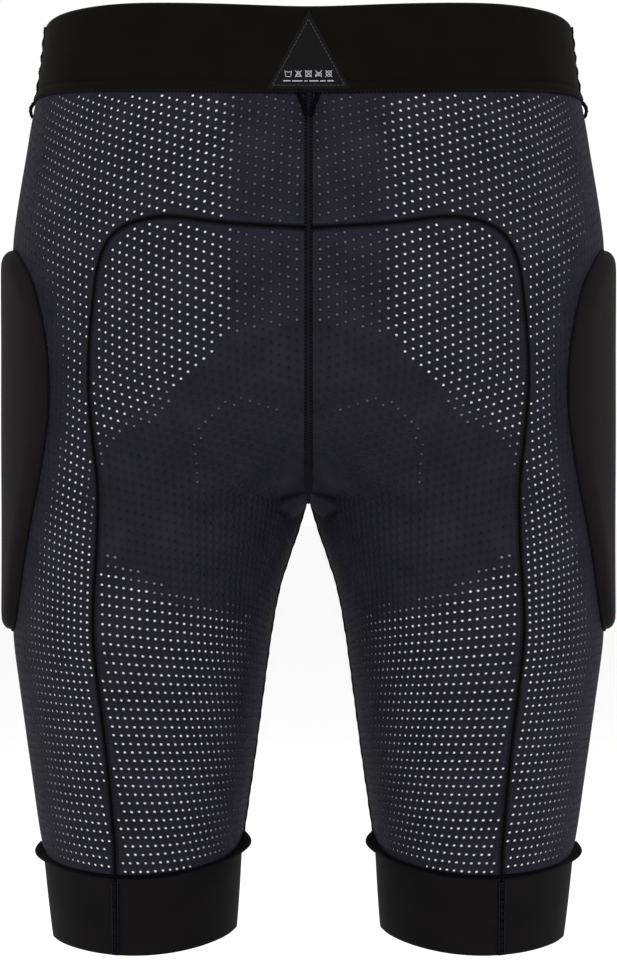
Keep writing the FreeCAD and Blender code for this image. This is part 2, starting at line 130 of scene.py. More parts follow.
def section_table():
    """For every drop, the back quarter from the side line to the centre line or the inseam."""
    angle = np.linspace(0, math.pi, 1441)
    cos, sin = np.cos(angle), np.sin(angle)
    xs = np.zeros((len(drops), ALONG_POINTS))
    ys = np.zeros_like(xs)
    length = np.zeros(len(drops))
    for row, drop in enumerate(drops):
        a, b = trunk_width[row], trunk_depth[row]
        ax = axis_x[row]
        radius = np.zeros_like(angle)
        if drop < FORK_DROP:
            radius = from_axis(cos, sin, ax, a, b)
        if drop > LEG_START - MERGE_EARLY:
            leg = 1 / np.sqrt((cos / leg_width[row]) ** 2 + (sin / leg_depth[row]) ** 2)
            turn = smooth((drop - LEG_START + MERGE_EARLY) / MERGE_LENGTH)
            late = leg - MERGE_LATE * (1 - turn)
            soft = (BLEND * smooth((drop - LEG_START) / 24) * smooth((FORK_DROP - drop) / 10)
                    * smooth((angle - 1.35) / 0.8))
            joined = (radius + late + np.sqrt((radius - late) ** 2 + soft ** 2)) / 2
            behind = smooth((angle - 1.35) / 1.0)
            hip = from_axis(cos, sin, ax, HIP_WIDTH, HIP_DEPTH)
            radius = (1 - behind) * ((1 - turn) * hip + turn * leg) + behind * joined
        x = ax + radius * cos
        y = radius * sin
        crossed = np.nonzero(x <= 0)[0]
        if len(crossed):
            last = crossed[0]
            part = x[last - 1] / (x[last - 1] - x[last])
            y[last] = y[last - 1] + part * (y[last] - y[last - 1])
            x[last] = 0
            x, y = x[:last + 1], y[:last + 1]
        run = np.concatenate([[0], np.cumsum(np.hypot(np.diff(x), np.diff(y)))])
        length[row] = run[-1]
        even = np.linspace(0, run[-1], ALONG_POINTS)
        xs[row] = np.interp(even, run, x)
        ys[row] = np.interp(even, run, y)
    return xs, ys, length


SECTION_X, SECTION_Y, SECTION_LENGTH = section_table()
# The hem stands higher at the sides than behind, and the whole leg end hangs a little lower.
TILT_START = 395
TILT_CUFF = 7.5
TILT_HEM = 6
LEG_HANG = 2.2
INNER_LIFT = 2.4
WAIST_TUCK = 0.014
# How far the waistband's upper and lower edges rise, from the side line to the centre line.
WAIST_SHARES = [0, 0.2, 0.45, 0.75, 1]
WAIST_TOP_RISE = [1.2, 5.0, 6.2, 3.0, 0]
WAIST_LOW_RISE = [5, 7, 4.5, 1.5, 0]
WAIST_RISE_END = 160


def softened(shares, values):
    """A softened version of a line through a few values."""
    fine = np.linspace(0, 1, 101)
    line = np.interp(fine, shares, values)
    wide = np.concatenate([line[30:0:-1], line, line[-2:-32:-1]])
    kernel = np.exp(-0.5 * (np.arange(-30, 31) / 8) ** 2)
    return fine, np.convolve(wide, kernel / kernel.sum(), "valid")


TOP_RISE = softened(WAIST_SHARES, WAIST_TOP_RISE)
LOW_RISE = softened(WAIST_SHARES, WAIST_LOW_RISE)


def level(drop):
    return np.clip((np.asarray(drop, float) - drops[0]) / STEP, 0, len(drops) - 1.001)


def end_along(drop):
    """How far it is from the side line to the centre line, or to the inseam."""
    return np.interp(drop, drops, SECTION_LENGTH)


def raw_place(along, drop):
    along, drop = np.broadcast_arrays(np.asarray(along, float), np.asarray(drop, float))
    row = level(drop)
    first = row.astype(int)
    part = row - first
    out = []
    for table in (SECTION_X, SECTION_Y):
        value = 0
        for index, share in ((first, 1 - part), (first + 1, part)):
            column = np.clip(np.abs(along) / SECTION_LENGTH[index], 0, 1) * (ALONG_POINTS - 1)
            near = np.minimum(column.astype(int), ALONG_POINTS - 2)
            rest = column - near
            value = value + share * (table[index, near] * (1 - rest) + table[index, near + 1] * rest)
        out.append(value)
    x, depth = out
    lift = np.interp(drop, [TILT_START, CUFF_DROP, HEM_DROP], [0, TILT_CUFF, TILT_HEM])
    backward = np.where(along > 0, np.clip(depth / np.interp(drop, drops, leg_depth), 0, 1), 0)
    y = np.interp(drop, drops, centre_y) - np.sign(along) * depth
    share = np.abs(along) / np.interp(drop, drops, SECTION_LENGTH)
    low = np.clip(drop / BAND_DROP, 0, 1)
    rise = (1 - low) * np.interp(share, *TOP_RISE) + low * np.interp(share, *LOW_RISE)
    rise = rise * smooth((WAIST_RISE_END - drop) / (WAIST_RISE_END - BAND_DROP))
    hang = LEG_HANG * smooth((drop - TILT_START) / (HEM_DROP - TILT_START) * 1.4)
    inner = INNER_LIFT * smooth((drop - TILT_START) / (CUFF_DROP - TILT_START)) * (2 * share - 1)
    x = x * (1 - WAIST_TUCK * smooth((BAND_DROP * 1.4 - drop) / BAND_DROP))
    return np.stack([x, y, -drop - hang + rise + inner + lift * (1 - backward ** 2)], -1)


def place(along, drop, rise=0.0):
    """Points on the fabric and their outward normals, lifted off the surface by rise."""
    delta = 1.0
    point = raw_place(along, drop)
    across = raw_place(np.asarray(along) + delta, drop) - raw_place(np.asarray(along) - delta, drop)
    down = raw_place(along, np.asarray(drop) + delta) - raw_place(along, np.asarray(drop) - delta)
    normal = unit(np.cross(across, down))
    return point + normal * np.asarray(rise)[..., None], normal


def at(places, rise=0.0):
    """The points and normals of a list of places."""
    return place(places[:, 0], places[:, 1], rise)


def along_at_x(x, drop, front=False):
    """The place on the back, or on the front, that is x from the garment's middle plane."""
    row = int(round(float(level(drop))))
    run = np.linspace(0, SECTION_LENGTH[row], ALONG_POINTS)
    value = np.interp(x, SECTION_X[row][::-1], run[::-1])
    return -value if front else value


def along_at_y(y, drop):
    """The place on the outer side that is y behind (negative) or before the section's centre."""
    row = int(round(float(level(drop))))
    run = np.linspace(0, SECTION_LENGTH[row], ALONG_POINTS)
    widest = int(np.argmax(SECTION_Y[row]))
    return -np.sign(y) * np.interp(abs(y), SECTION_Y[row][:widest], run[:widest])


def curve(points, spacing=2.0):
    """A smooth line (Catmull-Rom) through a few points, with evenly spaced points on it."""
    p = np.array(points, float)
    p = np.vstack([2 * p[0] - p[1], p, 2 * p[-1] - p[-2]])
    t = np.linspace(0, 1, 40, endpoint=False)[:, None]
    runs = []
    for a, b, c, d in zip(p[:-3], p[1:-2], p[2:-1], p[3:]):
        runs.append(0.5 * (2 * b + (c - a) * t + (2 * a - 5 * b + 4 * c - d) * t ** 2
                           + (3 * b - a - 3 * c + d) * t ** 3))
    line = np.vstack(runs + [p[-2:-1]])
    return respaced(line, spacing)


def respaced(line, spacing):
    run = run_along(line)
    count = max(2, int(round(run[-1] / spacing)) + 1)
    even = np.linspace(0, run[-1], count)
    return np.stack([np.interp(even, run, line[:, k]) for k in range(line.shape[1])], -1)


# ---------------------------------------------------------------- materials
# How long one band of Blender's wave texture is at scale 1, and how much of a fabric's shade is patchy.
WAVE_LENGTH = 0.314
MOTTLE = 0.35


def nodes_of(name):
    material = bpy.data.materials.new(name)
    material.use_nodes = True
    tree = material.node_tree
    return material, tree, tree.nodes["Principled BSDF"]


def linked(tree, kind, inputs=(), **settings):
    """A new shader node, with each input set to a value or linked to another node's output."""
    node = tree.nodes.new("ShaderNode" + kind)
    for key, value in settings.items():
        setattr(node, key, value)
    for key, value in dict(inputs).items():
        if hasattr(value, "is_output"):
            tree.links.new(value, node.inputs[key])
        else:
            node.inputs[key].default_value = value
    return node


def dressed(tree, shader, links, values):
    """Link and set the main shader's own sockets."""
    for socket, output in links.items():
        tree.links.new(output, shader.inputs[socket])
    for socket, value in values.items():
        shader.inputs[socket].default_value = value


def srgb(red, green, blue):
    """A linear colour from the usual 0 to 255 values."""
    out = []
    for value in (red, green, blue):
        share = value / 255
        out.append(share / 12.92 if share <= 0.04045 else ((share + 0.055) / 1.055) ** 2.4)
    return (*out, 1)


def fabric(name, dark, light, wale, course, roughness, sheen, bump, depth=0.12, gloss=0.1):
    """A knitted fabric: columns of stitches wale apart, rows course apart, with yarn fuzz."""
    material, tree, shader = nodes_of(name)
    dark, light = srgb(*dark), srgb(*light)
    weave = linked(tree, "Attribute", attribute_name="weave").outputs["Vector"]

    def bands(apart, distortion, direction):
        inputs = {"Vector": weave, "Scale": WAVE_LENGTH / apart, "Distortion": distortion,
                  "Detail": 1, "Detail Scale": 2}
        return linked(tree, "TexWave", inputs, bands_direction=direction).outputs["Fac"]

    def noise(**inputs):
        return linked(tree, "TexNoise", {"Vector": weave, **inputs}).outputs["Fac"]

    def worked(operation, *values):
        return linked(tree, "Math", enumerate(values), operation=operation).outputs[0]

    fuzz = noise(Scale=2.2, Detail=4, Roughness=0.7)
    patch = noise(Scale=0.045, Detail=3)
    stitch = worked("MULTIPLY", bands(wale, 0.6, "X"), bands(course, 0.9, "Y"))
    uneven = worked("ADD", worked("MULTIPLY", fuzz, 1 - MOTTLE), worked("MULTIPLY", patch, MOTTLE))
    lit = linked(tree, "MapRange", {"Value": worked("MULTIPLY_ADD", stitch, 0.3, uneven),
                                    "From Min": 0.3, "From Max": 0.9})
    colour = linked(tree, "Mix", {0: lit.outputs[0], 6: dark, 7: light}, data_type="RGBA")
    relief = linked(tree, "Bump", {"Height": worked("ADD", stitch, fuzz), "Strength": bump,
                                   "Distance": depth * MM})
    rough = linked(tree, "MapRange", {"Value": fuzz, "To Min": roughness - 0.06,
                                      "To Max": roughness + 0.06})
    dressed(tree, shader,
            {"Base Color": colour.outputs[2], "Normal": relief.outputs[0], "Roughness": rough.outputs[0]},
            {"Sheen Weight": sheen, "Sheen Roughness": 0.45, "Sheen Tint": light,
             "Specular IOR Level": gloss})
    return material


def floor_material():
    """What is seen through the holes: the pale light form, or the dark lining and seat pad; the dark end
    also serves as painted shade where the form would lie in shadow.
    """
    material, tree, shader = nodes_of("seen_through_holes")
    seen = linked(tree, "Attribute", attribute_name="seen").outputs["Fac"]
    # The dark end is the colour of the lining and seat pad, and also painted shade wherever the hole's
    # paleness is lowered as shade.
    colour = linked(tree, "Mix", {0: seen, 6: srgb(8, 8, 12), 7: srgb(250, 250, 250)}, data_type="RGBA")
    dressed(tree, shader, {"Base Color": colour.outputs[2]}, {"Roughness": 0.9, "Specular IOR Level": 0.1})
    return material


MESH_NAVY = fabric("mesh_navy", (2, 2, 5), (36, 35, 47), 0.8, 1.0, 0.75, 0.01, 0.9, gloss=0.07)
MESH_INSIDE = fabric("mesh_inside", (14, 14, 20), (30, 30, 40), 0.9, 1.1, 0.8, 0.02, 0.5)
HOLE_WALL = fabric("hole_wall", (34, 34, 38), (70, 70, 76), 0.4, 0.4, 0.8, 0.02, 0.2)
HOLE_FLOOR = floor_material()
ELASTIC = fabric("elastic_black", (3, 2, 1), (13, 11, 9), 0.7, 1.6, 0.8, 0.0, 0.4, gloss=0.035)
LEG_ELASTIC = fabric("leg_elastic", (4, 3, 4), (17, 15, 15), 0.7, 1.1, 0.8, 0.0, 0.4, gloss=0.05)
LINING = fabric("elastic_lining", (10, 10, 12), (26, 26, 30), 1.2, 1.2, 0.85, 0.02, 0.6)
COVER_KNIT = fabric("cover_knit", (9, 7, 8), (21, 18, 19), 0.5, 0.6, 0.8, 0.005, 0.25, gloss=0.06)
SEAM_CORE = fabric("seam_core", (1, 1, 2), (5, 5, 8), 0.8, 0.8, 0.9, 0.0, 0.8, gloss=0.03)
SEAM_SIDE = fabric("seam_side", (4, 4, 7), (22, 22, 29), 0.8, 0.8, 0.9, 0.0, 0.8, gloss=0.05)
THREAD = fabric("overlock_thread", (8, 8, 12), (32, 32, 40), 0.25, 0.5, 0.7, 0.01, 0.6, gloss=0.08)
FOAM = fabric("impact_foam", (70, 72, 76), (104, 106, 110), 1.6, 1.6, 0.85, 0.0, 0.9, 0.3)
FLEECE = fabric("chamois_fleece", (26, 27, 32), (52, 54, 62), 1.1, 1.1, 0.95, 0.2, 1.0, 0.4)
LABEL = fabric("label_satin", (5, 4, 5), (14, 13, 14), 0.3, 0.3, 0.6, 0.0, 0.3, 0.05, 0.05)
PRINT = fabric("label_print", (130, 130, 134), (180, 180, 184), 0.3, 0.3, 0.6, 0.0, 0.2, 0.03)
STITCH = fabric("label_stitch", (44, 44, 50), (80, 80, 88), 0.2, 0.2, 0.6, 0.0, 0.3, 0.03)
SEAM_MATERIALS = [SEAM_CORE, THREAD, SEAM_SIDE]


# ---------------------------------------------------------------- meshes
def set_attribute(mesh, name, kind, field, values):
    layer = mesh.attributes.get(name) or mesh.attributes.new(name, kind, "POINT")
    layer.data.foreach_set(field, np.asarray(values, np.float32).ravel())


class Build:
    """Vertices in millimetres with their weave places, and faces with their material numbers."""

    def __init__(self):
        self.points, self.weave, self.seen, self.faces, self.slots = [], [], [], [], []
        self.count = 0

    def add(self, points, weave, seen=0.0):
        points = np.asarray(points, float).reshape(-1, 3)
        self.points.append(points)
        self.weave.append(np.asarray(weave, float).reshape(-1, 2))
        self.seen.append(np.broadcast_to(seen, (len(points),)))
        self.count += len(points)
        return self.count - len(points)

    def face(self, faces, slot=0):
        faces = [tuple(int(i) for i in f) for f in faces]
        self.faces += faces
        self.slots += [slot] * len(faces)

    def made(self, name, materials, mirror=False):
        points = np.vstack(self.points) * MM
        faces = self.faces
        if mirror:
            points = points * LEFT
            faces = [f[::-1] for f in faces]
        mesh = bpy.data.meshes.new(name)
        mesh.from_pydata(points.tolist(), [], faces)
        weave = np.hstack([np.vstack(self.weave), np.zeros((self.count, 1))])
        set_attribute(mesh, "weave", "FLOAT_VECTOR", "vector", weave)
        # Each hole floor's paleness, lowered in places as painted shade.
        set_attribute(mesh, "seen", "FLOAT", "value", np.concatenate(self.seen))
        for material in materials:
            mesh.materials.append(material)
        mesh.polygons.foreach_set("material_index", np.array(self.slots, np.int32))
        mesh.polygons.foreach_set("use_smooth", [True] * len(faces))
        mesh.update()
        piece = bpy.data.objects.new(name, mesh)
        bpy.context.scene.collection.objects.link(piece)
        return piece


def finished(piece, body, node):
    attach(piece, body)
    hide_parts(node)
    return piece


def both_sides(build, name, materials, slot, node, body="root", fill=None, **cut):
    """The right-hand piece and its mirror image, standing for the CAD nodes of the same names."""
    for side, mirror in (("_right", False), ("_left", True)):
        piece = build.made(name + side, materials, mirror)
        finished(piece, body if body == "root" else body + side, node + side)


def grid_faces(start, rows, columns, wrap=False, flip=False):
    across = columns if wrap else columns - 1
    r, c = np.meshgrid(np.arange(rows - 1), np.arange(across), indexing="ij")
    a = start + r * columns + c
    b = start + r * columns + (c + 1) % columns
    quads = np.stack([a, b, b + columns, a + columns], -1).reshape(-1, 4)
    return quads[:, ::-1] if flip else quads


def closed_sheet(build, outer_points, inner_points, weave, wrap=False, flip=False):
    """A closed sheet between two like nets of points. A wrapped one has no upright edges."""
    rows, columns = outer_points.shape[:2]
    outer = build.add(outer_points, weave)
    inner = build.add(inner_points, weave)
    build.face(grid_faces(outer, rows, columns, wrap, flip))
    build.face(grid_faces(inner, rows, columns, wrap, not flip))
    net = np.arange(rows * columns).reshape(rows, columns)
    runs = [net[0], net[-1, ::-1]]
    runs = [np.append(run, run[0]) for run in runs] if wrap else runs + [net[:, -1], net[::-1, 0]]
    for run in runs:
        i, j = run[:-1], run[1:]
        quads = np.stack([outer + j, outer + i, inner + i, inner + j], -1)
        build.face(quads[:, ::-1] if flip else quads)


def shell(build, along, drop, near, far, wrap=False):
    """A closed sheet over a grid of places, between two distances inwards from the surface."""
    point, normal = place(along, drop)
    outer, inner = (point - normal * np.broadcast_to(deep, along.shape)[..., None] for deep in (near, far))
    closed_sheet(build, outer, inner, np.stack([along, drop], -1), wrap)


# ---------------------------------------------------------------- seam lines
# The arch seam of the rear panel, as (x, drop) seen from behind, from the centre line to the cuff.
ARCH = curve([(0, 117.2), (40, 114.8), (70, 111.3), (86, 112.4), (98.5, 117), (106, 124.5), (110.6, 136),
              (112.8, 151), (115, 173), (115.6, 193), (115.2, 207), (113.6, 225), (111, 252), (111.5, 282),
              (113.5, 314), (113, 339), (107.6, 388), (103.5, 437), (103, CUFF_DROP + 4)])
# The seam between the side panel and the front panel, from the waistband to the cuff.
FRONT_SEAM = curve([(98, BAND_DROP), (110, 110), (118, 195), (114, 330), (109, CUFF_DROP + 4)])


def seam_places(line, front=False):
    return np.array([(along_at_x(x, d, front), d) for x, d in line])


arch_places = seam_places(ARCH)
front_places = seam_places(FRONT_SEAM, front=True)


def level_places(start, end, drop, spacing=2.0):
    count = max(2, int(abs(end - start) / spacing))
    return np.stack([np.linspace(start, end, count), np.full(count, float(drop))], -1)


def centre_places(start, end, sign, spacing=2.0):
    """Down the centre line, round the seat to the fork and on down the inseam."""
    steps = np.arange(start, end, spacing * 0.5)
    steps = np.append(steps, end)
    line = np.stack([end_along(steps) * sign, steps], -1)
    point = raw_place(line[:, 0], line[:, 1])
    run = run_along(point)
    even = np.linspace(0, run[-1], int(run[-1] / spacing) + 1)
    return np.stack([np.interp(even, run, line[:, k]) for k in (0, 1)], -1)


def closed_line(*runs):
    out = []
    for run in runs:
        for p in run:
            if not out or math.hypot(p[0] - out[-1][0], p[1] - out[-1][1]) > 0.4:
                out.append((float(p[0]), float(p[1])))
    if math.hypot(out[0][0] - out[-1][0], out[0][1] - out[-1][1]) <= 0.4:
        out.pop()
    return np.array(out)


def cut_at(line, drop):
    """The part of a line of places above a drop, ending just on it."""
    keep = line[line[:, 1] < drop]
    beyond = line[line[:, 1] >= drop][0]
    part = (drop - keep[-1, 1]) / (beyond[1] - keep[-1, 1])
    return np.vstack([keep, keep[-1] + part * (beyond - keep[-1])])


arch_to_cuff = cut_at(arch_places, CUFF_DROP)
front_to_cuff = cut_at(front_places, CUFF_DROP)
REAR_LINE = closed_line(arch_to_cuff,
                        level_places(arch_to_cuff[-1, 0], end_along(CUFF_DROP), CUFF_DROP),
                        centre_places(ARCH[0, 1], CUFF_DROP, 1)[::-1])
SIDE_LINE = closed_line(centre_places(BAND_DROP, ARCH[0, 1], 1), arch_to_cuff,
                        level_places(arch_to_cuff[-1, 0], front_to_cuff[-1, 0], CUFF_DROP),
                        front_to_cuff[::-1],
                        level_places(front_to_cuff[0, 0], end_along(BAND_DROP), BAND_DROP))
FRONT_LINE = closed_line(front_to_cuff,
                         level_places(front_to_cuff[-1, 0], -end_along(CUFF_DROP), CUFF_DROP),
                         centre_places(BAND_DROP, CUFF_DROP, -1)[::-1],
                         level_places(-end_along(BAND_DROP), front_to_cuff[0, 0], BAND_DROP))

# ---------------------------------------------------------------- flat nets
def inside(line, places):
    """Which places lie inside a closed line."""
    x, y = places[:, 0], places[:, 1]
    hit = np.zeros(len(places), bool)
    for (x0, y0), (x1, y1) in zip(line, np.roll(line, -1, axis=0)):
        spans = (y0 > y) != (y1 > y)
        with np.errstate(divide="ignore", invalid="ignore"):
            hit ^= spans & (x < (x1 - x0) * (y - y0) / (y1 - y0) + x0)
    return hit


def line_distance(line, places, closed=True):
    """How far each place is from a line."""
    best = np.full(len(places), 1e9)
    ends = np.roll(line, -1, axis=0) if closed else line[1:]
    for a, b in zip(line, ends):
        ab = b - a
        t = np.clip(((places - a) @ ab) / max(ab @ ab, 1e-9), 0, 1)
        best = np.minimum(best, np.linalg.norm(places - a - t[:, None] * ab, axis=1))
    return best


def signed_area(line):
    x, y = line[:, 0], line[:, 1]
    return 0.5 * float(np.sum(x * np.roll(y, -1) - np.roll(x, -1) * y))


def cut_size(line):
    """The flat size and area of the cloth inside a closed line, in metres."""
    wide, high = (line.max(0) - line.min(0)) * MM
    return {"flat": (float(wide), float(high)), "area": abs(signed_area(line)) * MM * MM}


def filled(line, spacing, margin):
    """Even places inside a closed line, more than a margin from it."""
    (left, top), (right, foot) = line.min(0), line.max(0)
    grid = np.meshgrid(np.arange(left, right, spacing), np.arange(top, foot, spacing))
    grid = np.stack(grid, -1).reshape(-1, 2)
    grid = grid[inside(line, grid)]
    return grid[line_distance(line, grid) > margin]


def net(line, extra, edges=()):
    """Triangles that fill a closed line and use the extra places, all facing outwards."""
    flat = np.vstack([line, extra])
    verts, _, faces, origin, _, _ = delaunay_2d_cdt([Vector(p) for p in flat.tolist()], list(edges),
                                                    [list(range(len(line)))], 1, 1e-5)
    if len(verts) != len(flat):
        raise RuntimeError("an outline crosses itself")
    index = np.array([o[0] for o in origin])
    triangles = index[np.array([f for f in faces if len(f) == 3])]
    a, b, c = (flat[triangles[:, k]] for k in range(3))
    turn = (b[:, 0] - a[:, 0]) * (c[:, 1] - a[:, 1]) - (b[:, 1] - a[:, 1]) * (c[:, 0] - a[:, 0])
    return flat, np.where((turn > 0)[:, None], triangles, triangles[:, ::-1])


def close_rim(build, line, start):
    """Join the borders of two nets that both begin with the same line."""
    order = np.arange(len(line))
    after = np.roll(order, -1)
    side = np.stack([order, after, after + start, order + start], -1)
    build.face(side if signed_area(line) > 0 else side[:, ::-1])


# ---------------------------------------------------------------- perforated panels
# The lattice: columns apart, how much closer they are on the legs, and how they lean on the hips.
COLUMN = 4.45
LEG_COLUMN = 0.91
CLOSER_EARLY, CLOSER_LENGTH = 40, 130
HIP_SHEAR = 0.26
SHEAR_REACH, SHEAR_FADE = 80, 110
# Rows apart and their slope in degrees, at drops, and where the slope fades to the legs' slope.
ROW_PITCH = ([60, 150, 230, 320], [4.7, 5.05, 4.85, 4.5])
ROW_SLOPE = ([60, 170], [13.5, 18.5])
SLOPE_FADE = (205, 390)
LEG_SLOPE = 1
ROWS_BEYOND, COLUMNS_BEYOND = 160, 30
HOLE_JITTER = 0.12
# Half widths of a hole at its rim and floor, for pale and for dark holes, and their depths.
RIM, FLOOR = 0.86, 0.74
DARK_RIM, DARK_FLOOR = 0.8, 0.4
HOLE_WIDE, HOLE_HIGH = 1.1, 0.92
HOLE_DEPTH, DARK_DEPTH = 0.42, 0.26
FULLY_OPEN = 0.4
HOLE_SIDES = 8
PANEL_THICK = 1.2
EDGE_GAP = 2.9


def row_bases():
    """Where the rows of holes start: closer together on the hips and down the legs."""
    fine = np.arange(-ROWS_BEYOND, HEM_DROP + ROWS_BEYOND, STEP)
    count = np.cumsum(STEP / np.interp(fine, *ROW_PITCH))
    return np.interp(np.arange(1, math.floor(count[-1])), count, fine)


def hole_places(line, centre, pivot, shear):
    """The lattice of holes inside a panel: upright columns, with rows that slope on the hips.
    The rows turn level down the leg, about the column that is centre round the body. The columns
    close up on the leg towards the one at pivot, and shear leans them."""
    low, high = line.min(0), line.max(0)
    columns = np.arange(math.floor(low[0] / COLUMN) - COLUMNS_BEYOND,
                        math.ceil(high[0] / COLUMN) + COLUMNS_BEYOND)
    c, base = np.meshgrid(columns, row_bases())
    side, out = np.sign(c), np.abs(c * COLUMN)
    fade = smooth((base - SLOPE_FADE[0]) / (SLOPE_FADE[1] - SLOPE_FADE[0]))
    hip_slope = np.interp(base, *ROW_SLOPE)
    slope = np.tan(np.radians(hip_slope + (LEG_SLOPE - hip_slope) * fade))
    drop = base + slope * (out - centre)
    closer = 1 + (LEG_COLUMN - 1) * smooth((drop - LEG_START + CLOSER_EARLY) / CLOSER_LENGTH)
    along = side * (pivot + (out - pivot) * closer)
    above_hip = np.clip(drop - HIP_DROP, -SHEAR_REACH, 0)
    along = along + side * HIP_SHEAR * above_hip * smooth(out / SHEAR_FADE)
    along = along + shear * np.maximum(drop - SLOPE_FADE[0], 0)
    places = np.stack([along, drop], -1)[(along * c > 0) | (c == 0)]
    places = places[inside(line, places)]
    places = places[line_distance(line, places) > EDGE_GAP]
    return places + rng.uniform(-HOLE_JITTER, HOLE_JITTER, places.shape)


def panel(line, holes, seen, name, node):
    """One knitted panel: its outer face with the holes cut in it, and a plain inner face."""
    border, count = len(line), len(holes)
    angle = np.arange(HOLE_SIDES) * 2 * math.pi / HOLE_SIDES
    ring = np.stack([np.cos(angle) * HOLE_WIDE, np.sin(angle) * HOLE_HIGH], -1)
    pale = smooth(seen / FULLY_OPEN)[:, None, None]
    size = rng.uniform(0.94, 1.05, (count, 1, 1))
    rims, floors = ((holes[:, None] + (dark + (wide - dark) * pale) * size * ring).reshape(-1, 2)
                    for dark, wide in ((DARK_RIM, RIM), (DARK_FLOOR, FLOOR)))
    number = np.arange(count * HOLE_SIDES).reshape(count, HOLE_SIDES)
    rim = border + number
    edges = np.stack([rim, np.roll(rim, -1, 1)], -1).reshape(-1, 2)
    flat, triangles = net(line, rims, edges.tolist())
    # A triangle with all its corners on one hole's rim would close that hole.
    owner = np.concatenate([np.full(border, -1), np.repeat(np.arange(count), HOLE_SIDES)])[triangles]
    closing = (owner[:, 0] >= 0) & (owner == owner[:, :1]).all(1)
    build = Build()
    build.add(at(flat)[0], flat)
    build.face(triangles[~closing])
    facing = 0.3 + 0.7 * smooth((np.abs(at(holes)[1][:, 1]) - 0.25) / 0.5)
    depth = (DARK_DEPTH + (HOLE_DEPTH - DARK_DEPTH) * pale.ravel()) * facing
    low = at(floors, -np.repeat(depth, HOLE_SIDES))[0]
    # The hole floors take each hole's paleness, painted shade included.
    bottom = number + build.add(low, floors, np.repeat(seen, HOLE_SIDES))
    walls = np.stack([rim, np.roll(rim, -1, 1), np.roll(bottom, -1, 1), bottom], -1).reshape(-1, 4)
    build.face(walls[:, ::-1], 1)
    build.face(bottom, 2)
    # The inner face, on its own coarser net with the same border.
    flat, triangles = net(line, filled(line, 5, 2.5))
    start = build.add(at(flat, -PANEL_THICK)[0], flat)
    build.face(triangles[:, ::-1] + start, 3)
    close_rim(build, line, start)
    both_sides(build, name, [MESH_NAVY, HOLE_WALL, HOLE_FLOOR, MESH_INSIDE], "mesh_navy", node,
               **cut_size(line))


# Where the seat pad lies behind the mesh, as (x, drop) seen from behind, and its inner cushion.
SEAT_PAD = np.array([(0, 165), (43, 172), (53, 185), (64, 195), (70, 203), (80, 216), (92, 220), (104, 230),
                     (110, 245), (111, 262), (109, 279), (98, 291), (81, 300), (65, 308), (50, 313),
                     (33, 313), (18, 303), (4, 280), (0, 262)], float)
SEAT_CUSHION = curve([(60, 252), (58, 226), (46, 210), (31, 206), (17, 212)])
CUSHION_RING, CUSHION_SEEN = 2.0, 0.22
# The strip beside the pad that is half dark, as painted shade, and the dark place between the thighs, also
# painted shade.
PAD_STRIP, PAD_STRIP_TOP, PAD_STRIP_PAINTED_SHADE = 7, 200, 0.35
THIGH_TOP, THIGH_FOOT, THIGH_REACH, THIGH_PAINTED_SHADE = 262, 300, 22, 0.05
# The centre zone, darkened as painted shade: faint grey holes in its upper part and dark ones below, pale
# ones beyond its side.
CENTRE_ZONE = 44
CENTRE_ZONE_LOW = 205
CENTRE_PAINTED_SHADE, CENTRE_SHADE_DEEPENS, CENTRE_DEEP_PAINTED_SHADE = 0.24, 184, 0.05
# How far the pocket lining darkens the holes beside it, and how far painted shade then fades out.
POCKET_STRIP, POCKET_SHADE_FADE = 8.5, 14


def seen_through(holes, front):
    """How pale each hole looks: 1 over the light form, near 0 over the seat pad and the lining, and lowered
    as painted shade in the centre zone, beside the pad, between the thighs, round the pockets and towards
    the sides.
    """
    x, drop = raw_place(holes[:, 0], holes[:, 1])[:, 0], holes[:, 1]
    value = np.full(len(holes), 1.0)
    if not front:
        flat = np.stack([x, drop], -1)
        back = holes[:, 0] > 0
        pad = back & inside(SEAT_PAD, flat)
        # Painted shade: holes near the centre line are darkened, more deeply lower down.
        centre_shade = CENTRE_DEEP_PAINTED_SHADE + (CENTRE_PAINTED_SHADE - CENTRE_DEEP_PAINTED_SHADE) * smooth((CENTRE_SHADE_DEEPENS - drop) / 12)
        shaded_zone = centre_shade + (1 - centre_shade) * smooth((x - CENTRE_ZONE + 9) / 16)
        value = np.where(back & (drop < CENTRE_ZONE_LOW), shaded_zone, value)
        ring = line_distance(SEAT_CUSHION, flat, closed=False) < CUSHION_RING
        value = np.where(pad, np.where(ring, CUSHION_SEEN, 0.0), value)
        # Painted shade: holes in a strip just outside the seat pad are held half dark.
        near = back & ~pad & (line_distance(SEAT_PAD, flat) < PAD_STRIP) & (drop > PAD_STRIP_TOP)
        value = np.where(near, np.minimum(value, PAD_STRIP_PAINTED_SHADE), value)
        # Painted shade: the holes between the thighs, just above the fork, are made dark.
        thigh_shade = back & (drop > THIGH_TOP) & (drop < THIGH_FOOT) & (x < THIGH_REACH)
        value = np.where(thigh_shade, THIGH_PAINTED_SHADE, value)
    # Holes over the pocket and its lining are dark because the lining lies behind them; past it they fade
    # back to pale as painted shade.
    gap = line_distance(POCKET_LINE, holes)
    covered = inside(POCKET_LINE, holes) | (gap < POCKET_STRIP)
    beside_painted_shade = 0.1 + 0.9 * smooth((gap - POCKET_STRIP) / POCKET_SHADE_FADE)
    value = np.minimum(value, np.where(covered, 0.0, beside_painted_shade))
    # Painted shade: holes on the sides, which face away from the back, are darkened as if seen at a slant
    # through the thick mesh.
    facing = smooth((np.abs(at(holes)[1][:, 1]) - 0.42) / 0.4)
    value = value * (0.26 + 0.74 * facing)
    return np.clip(value + rng.uniform(-0.04, 0.02, len(value)), 0, 1)


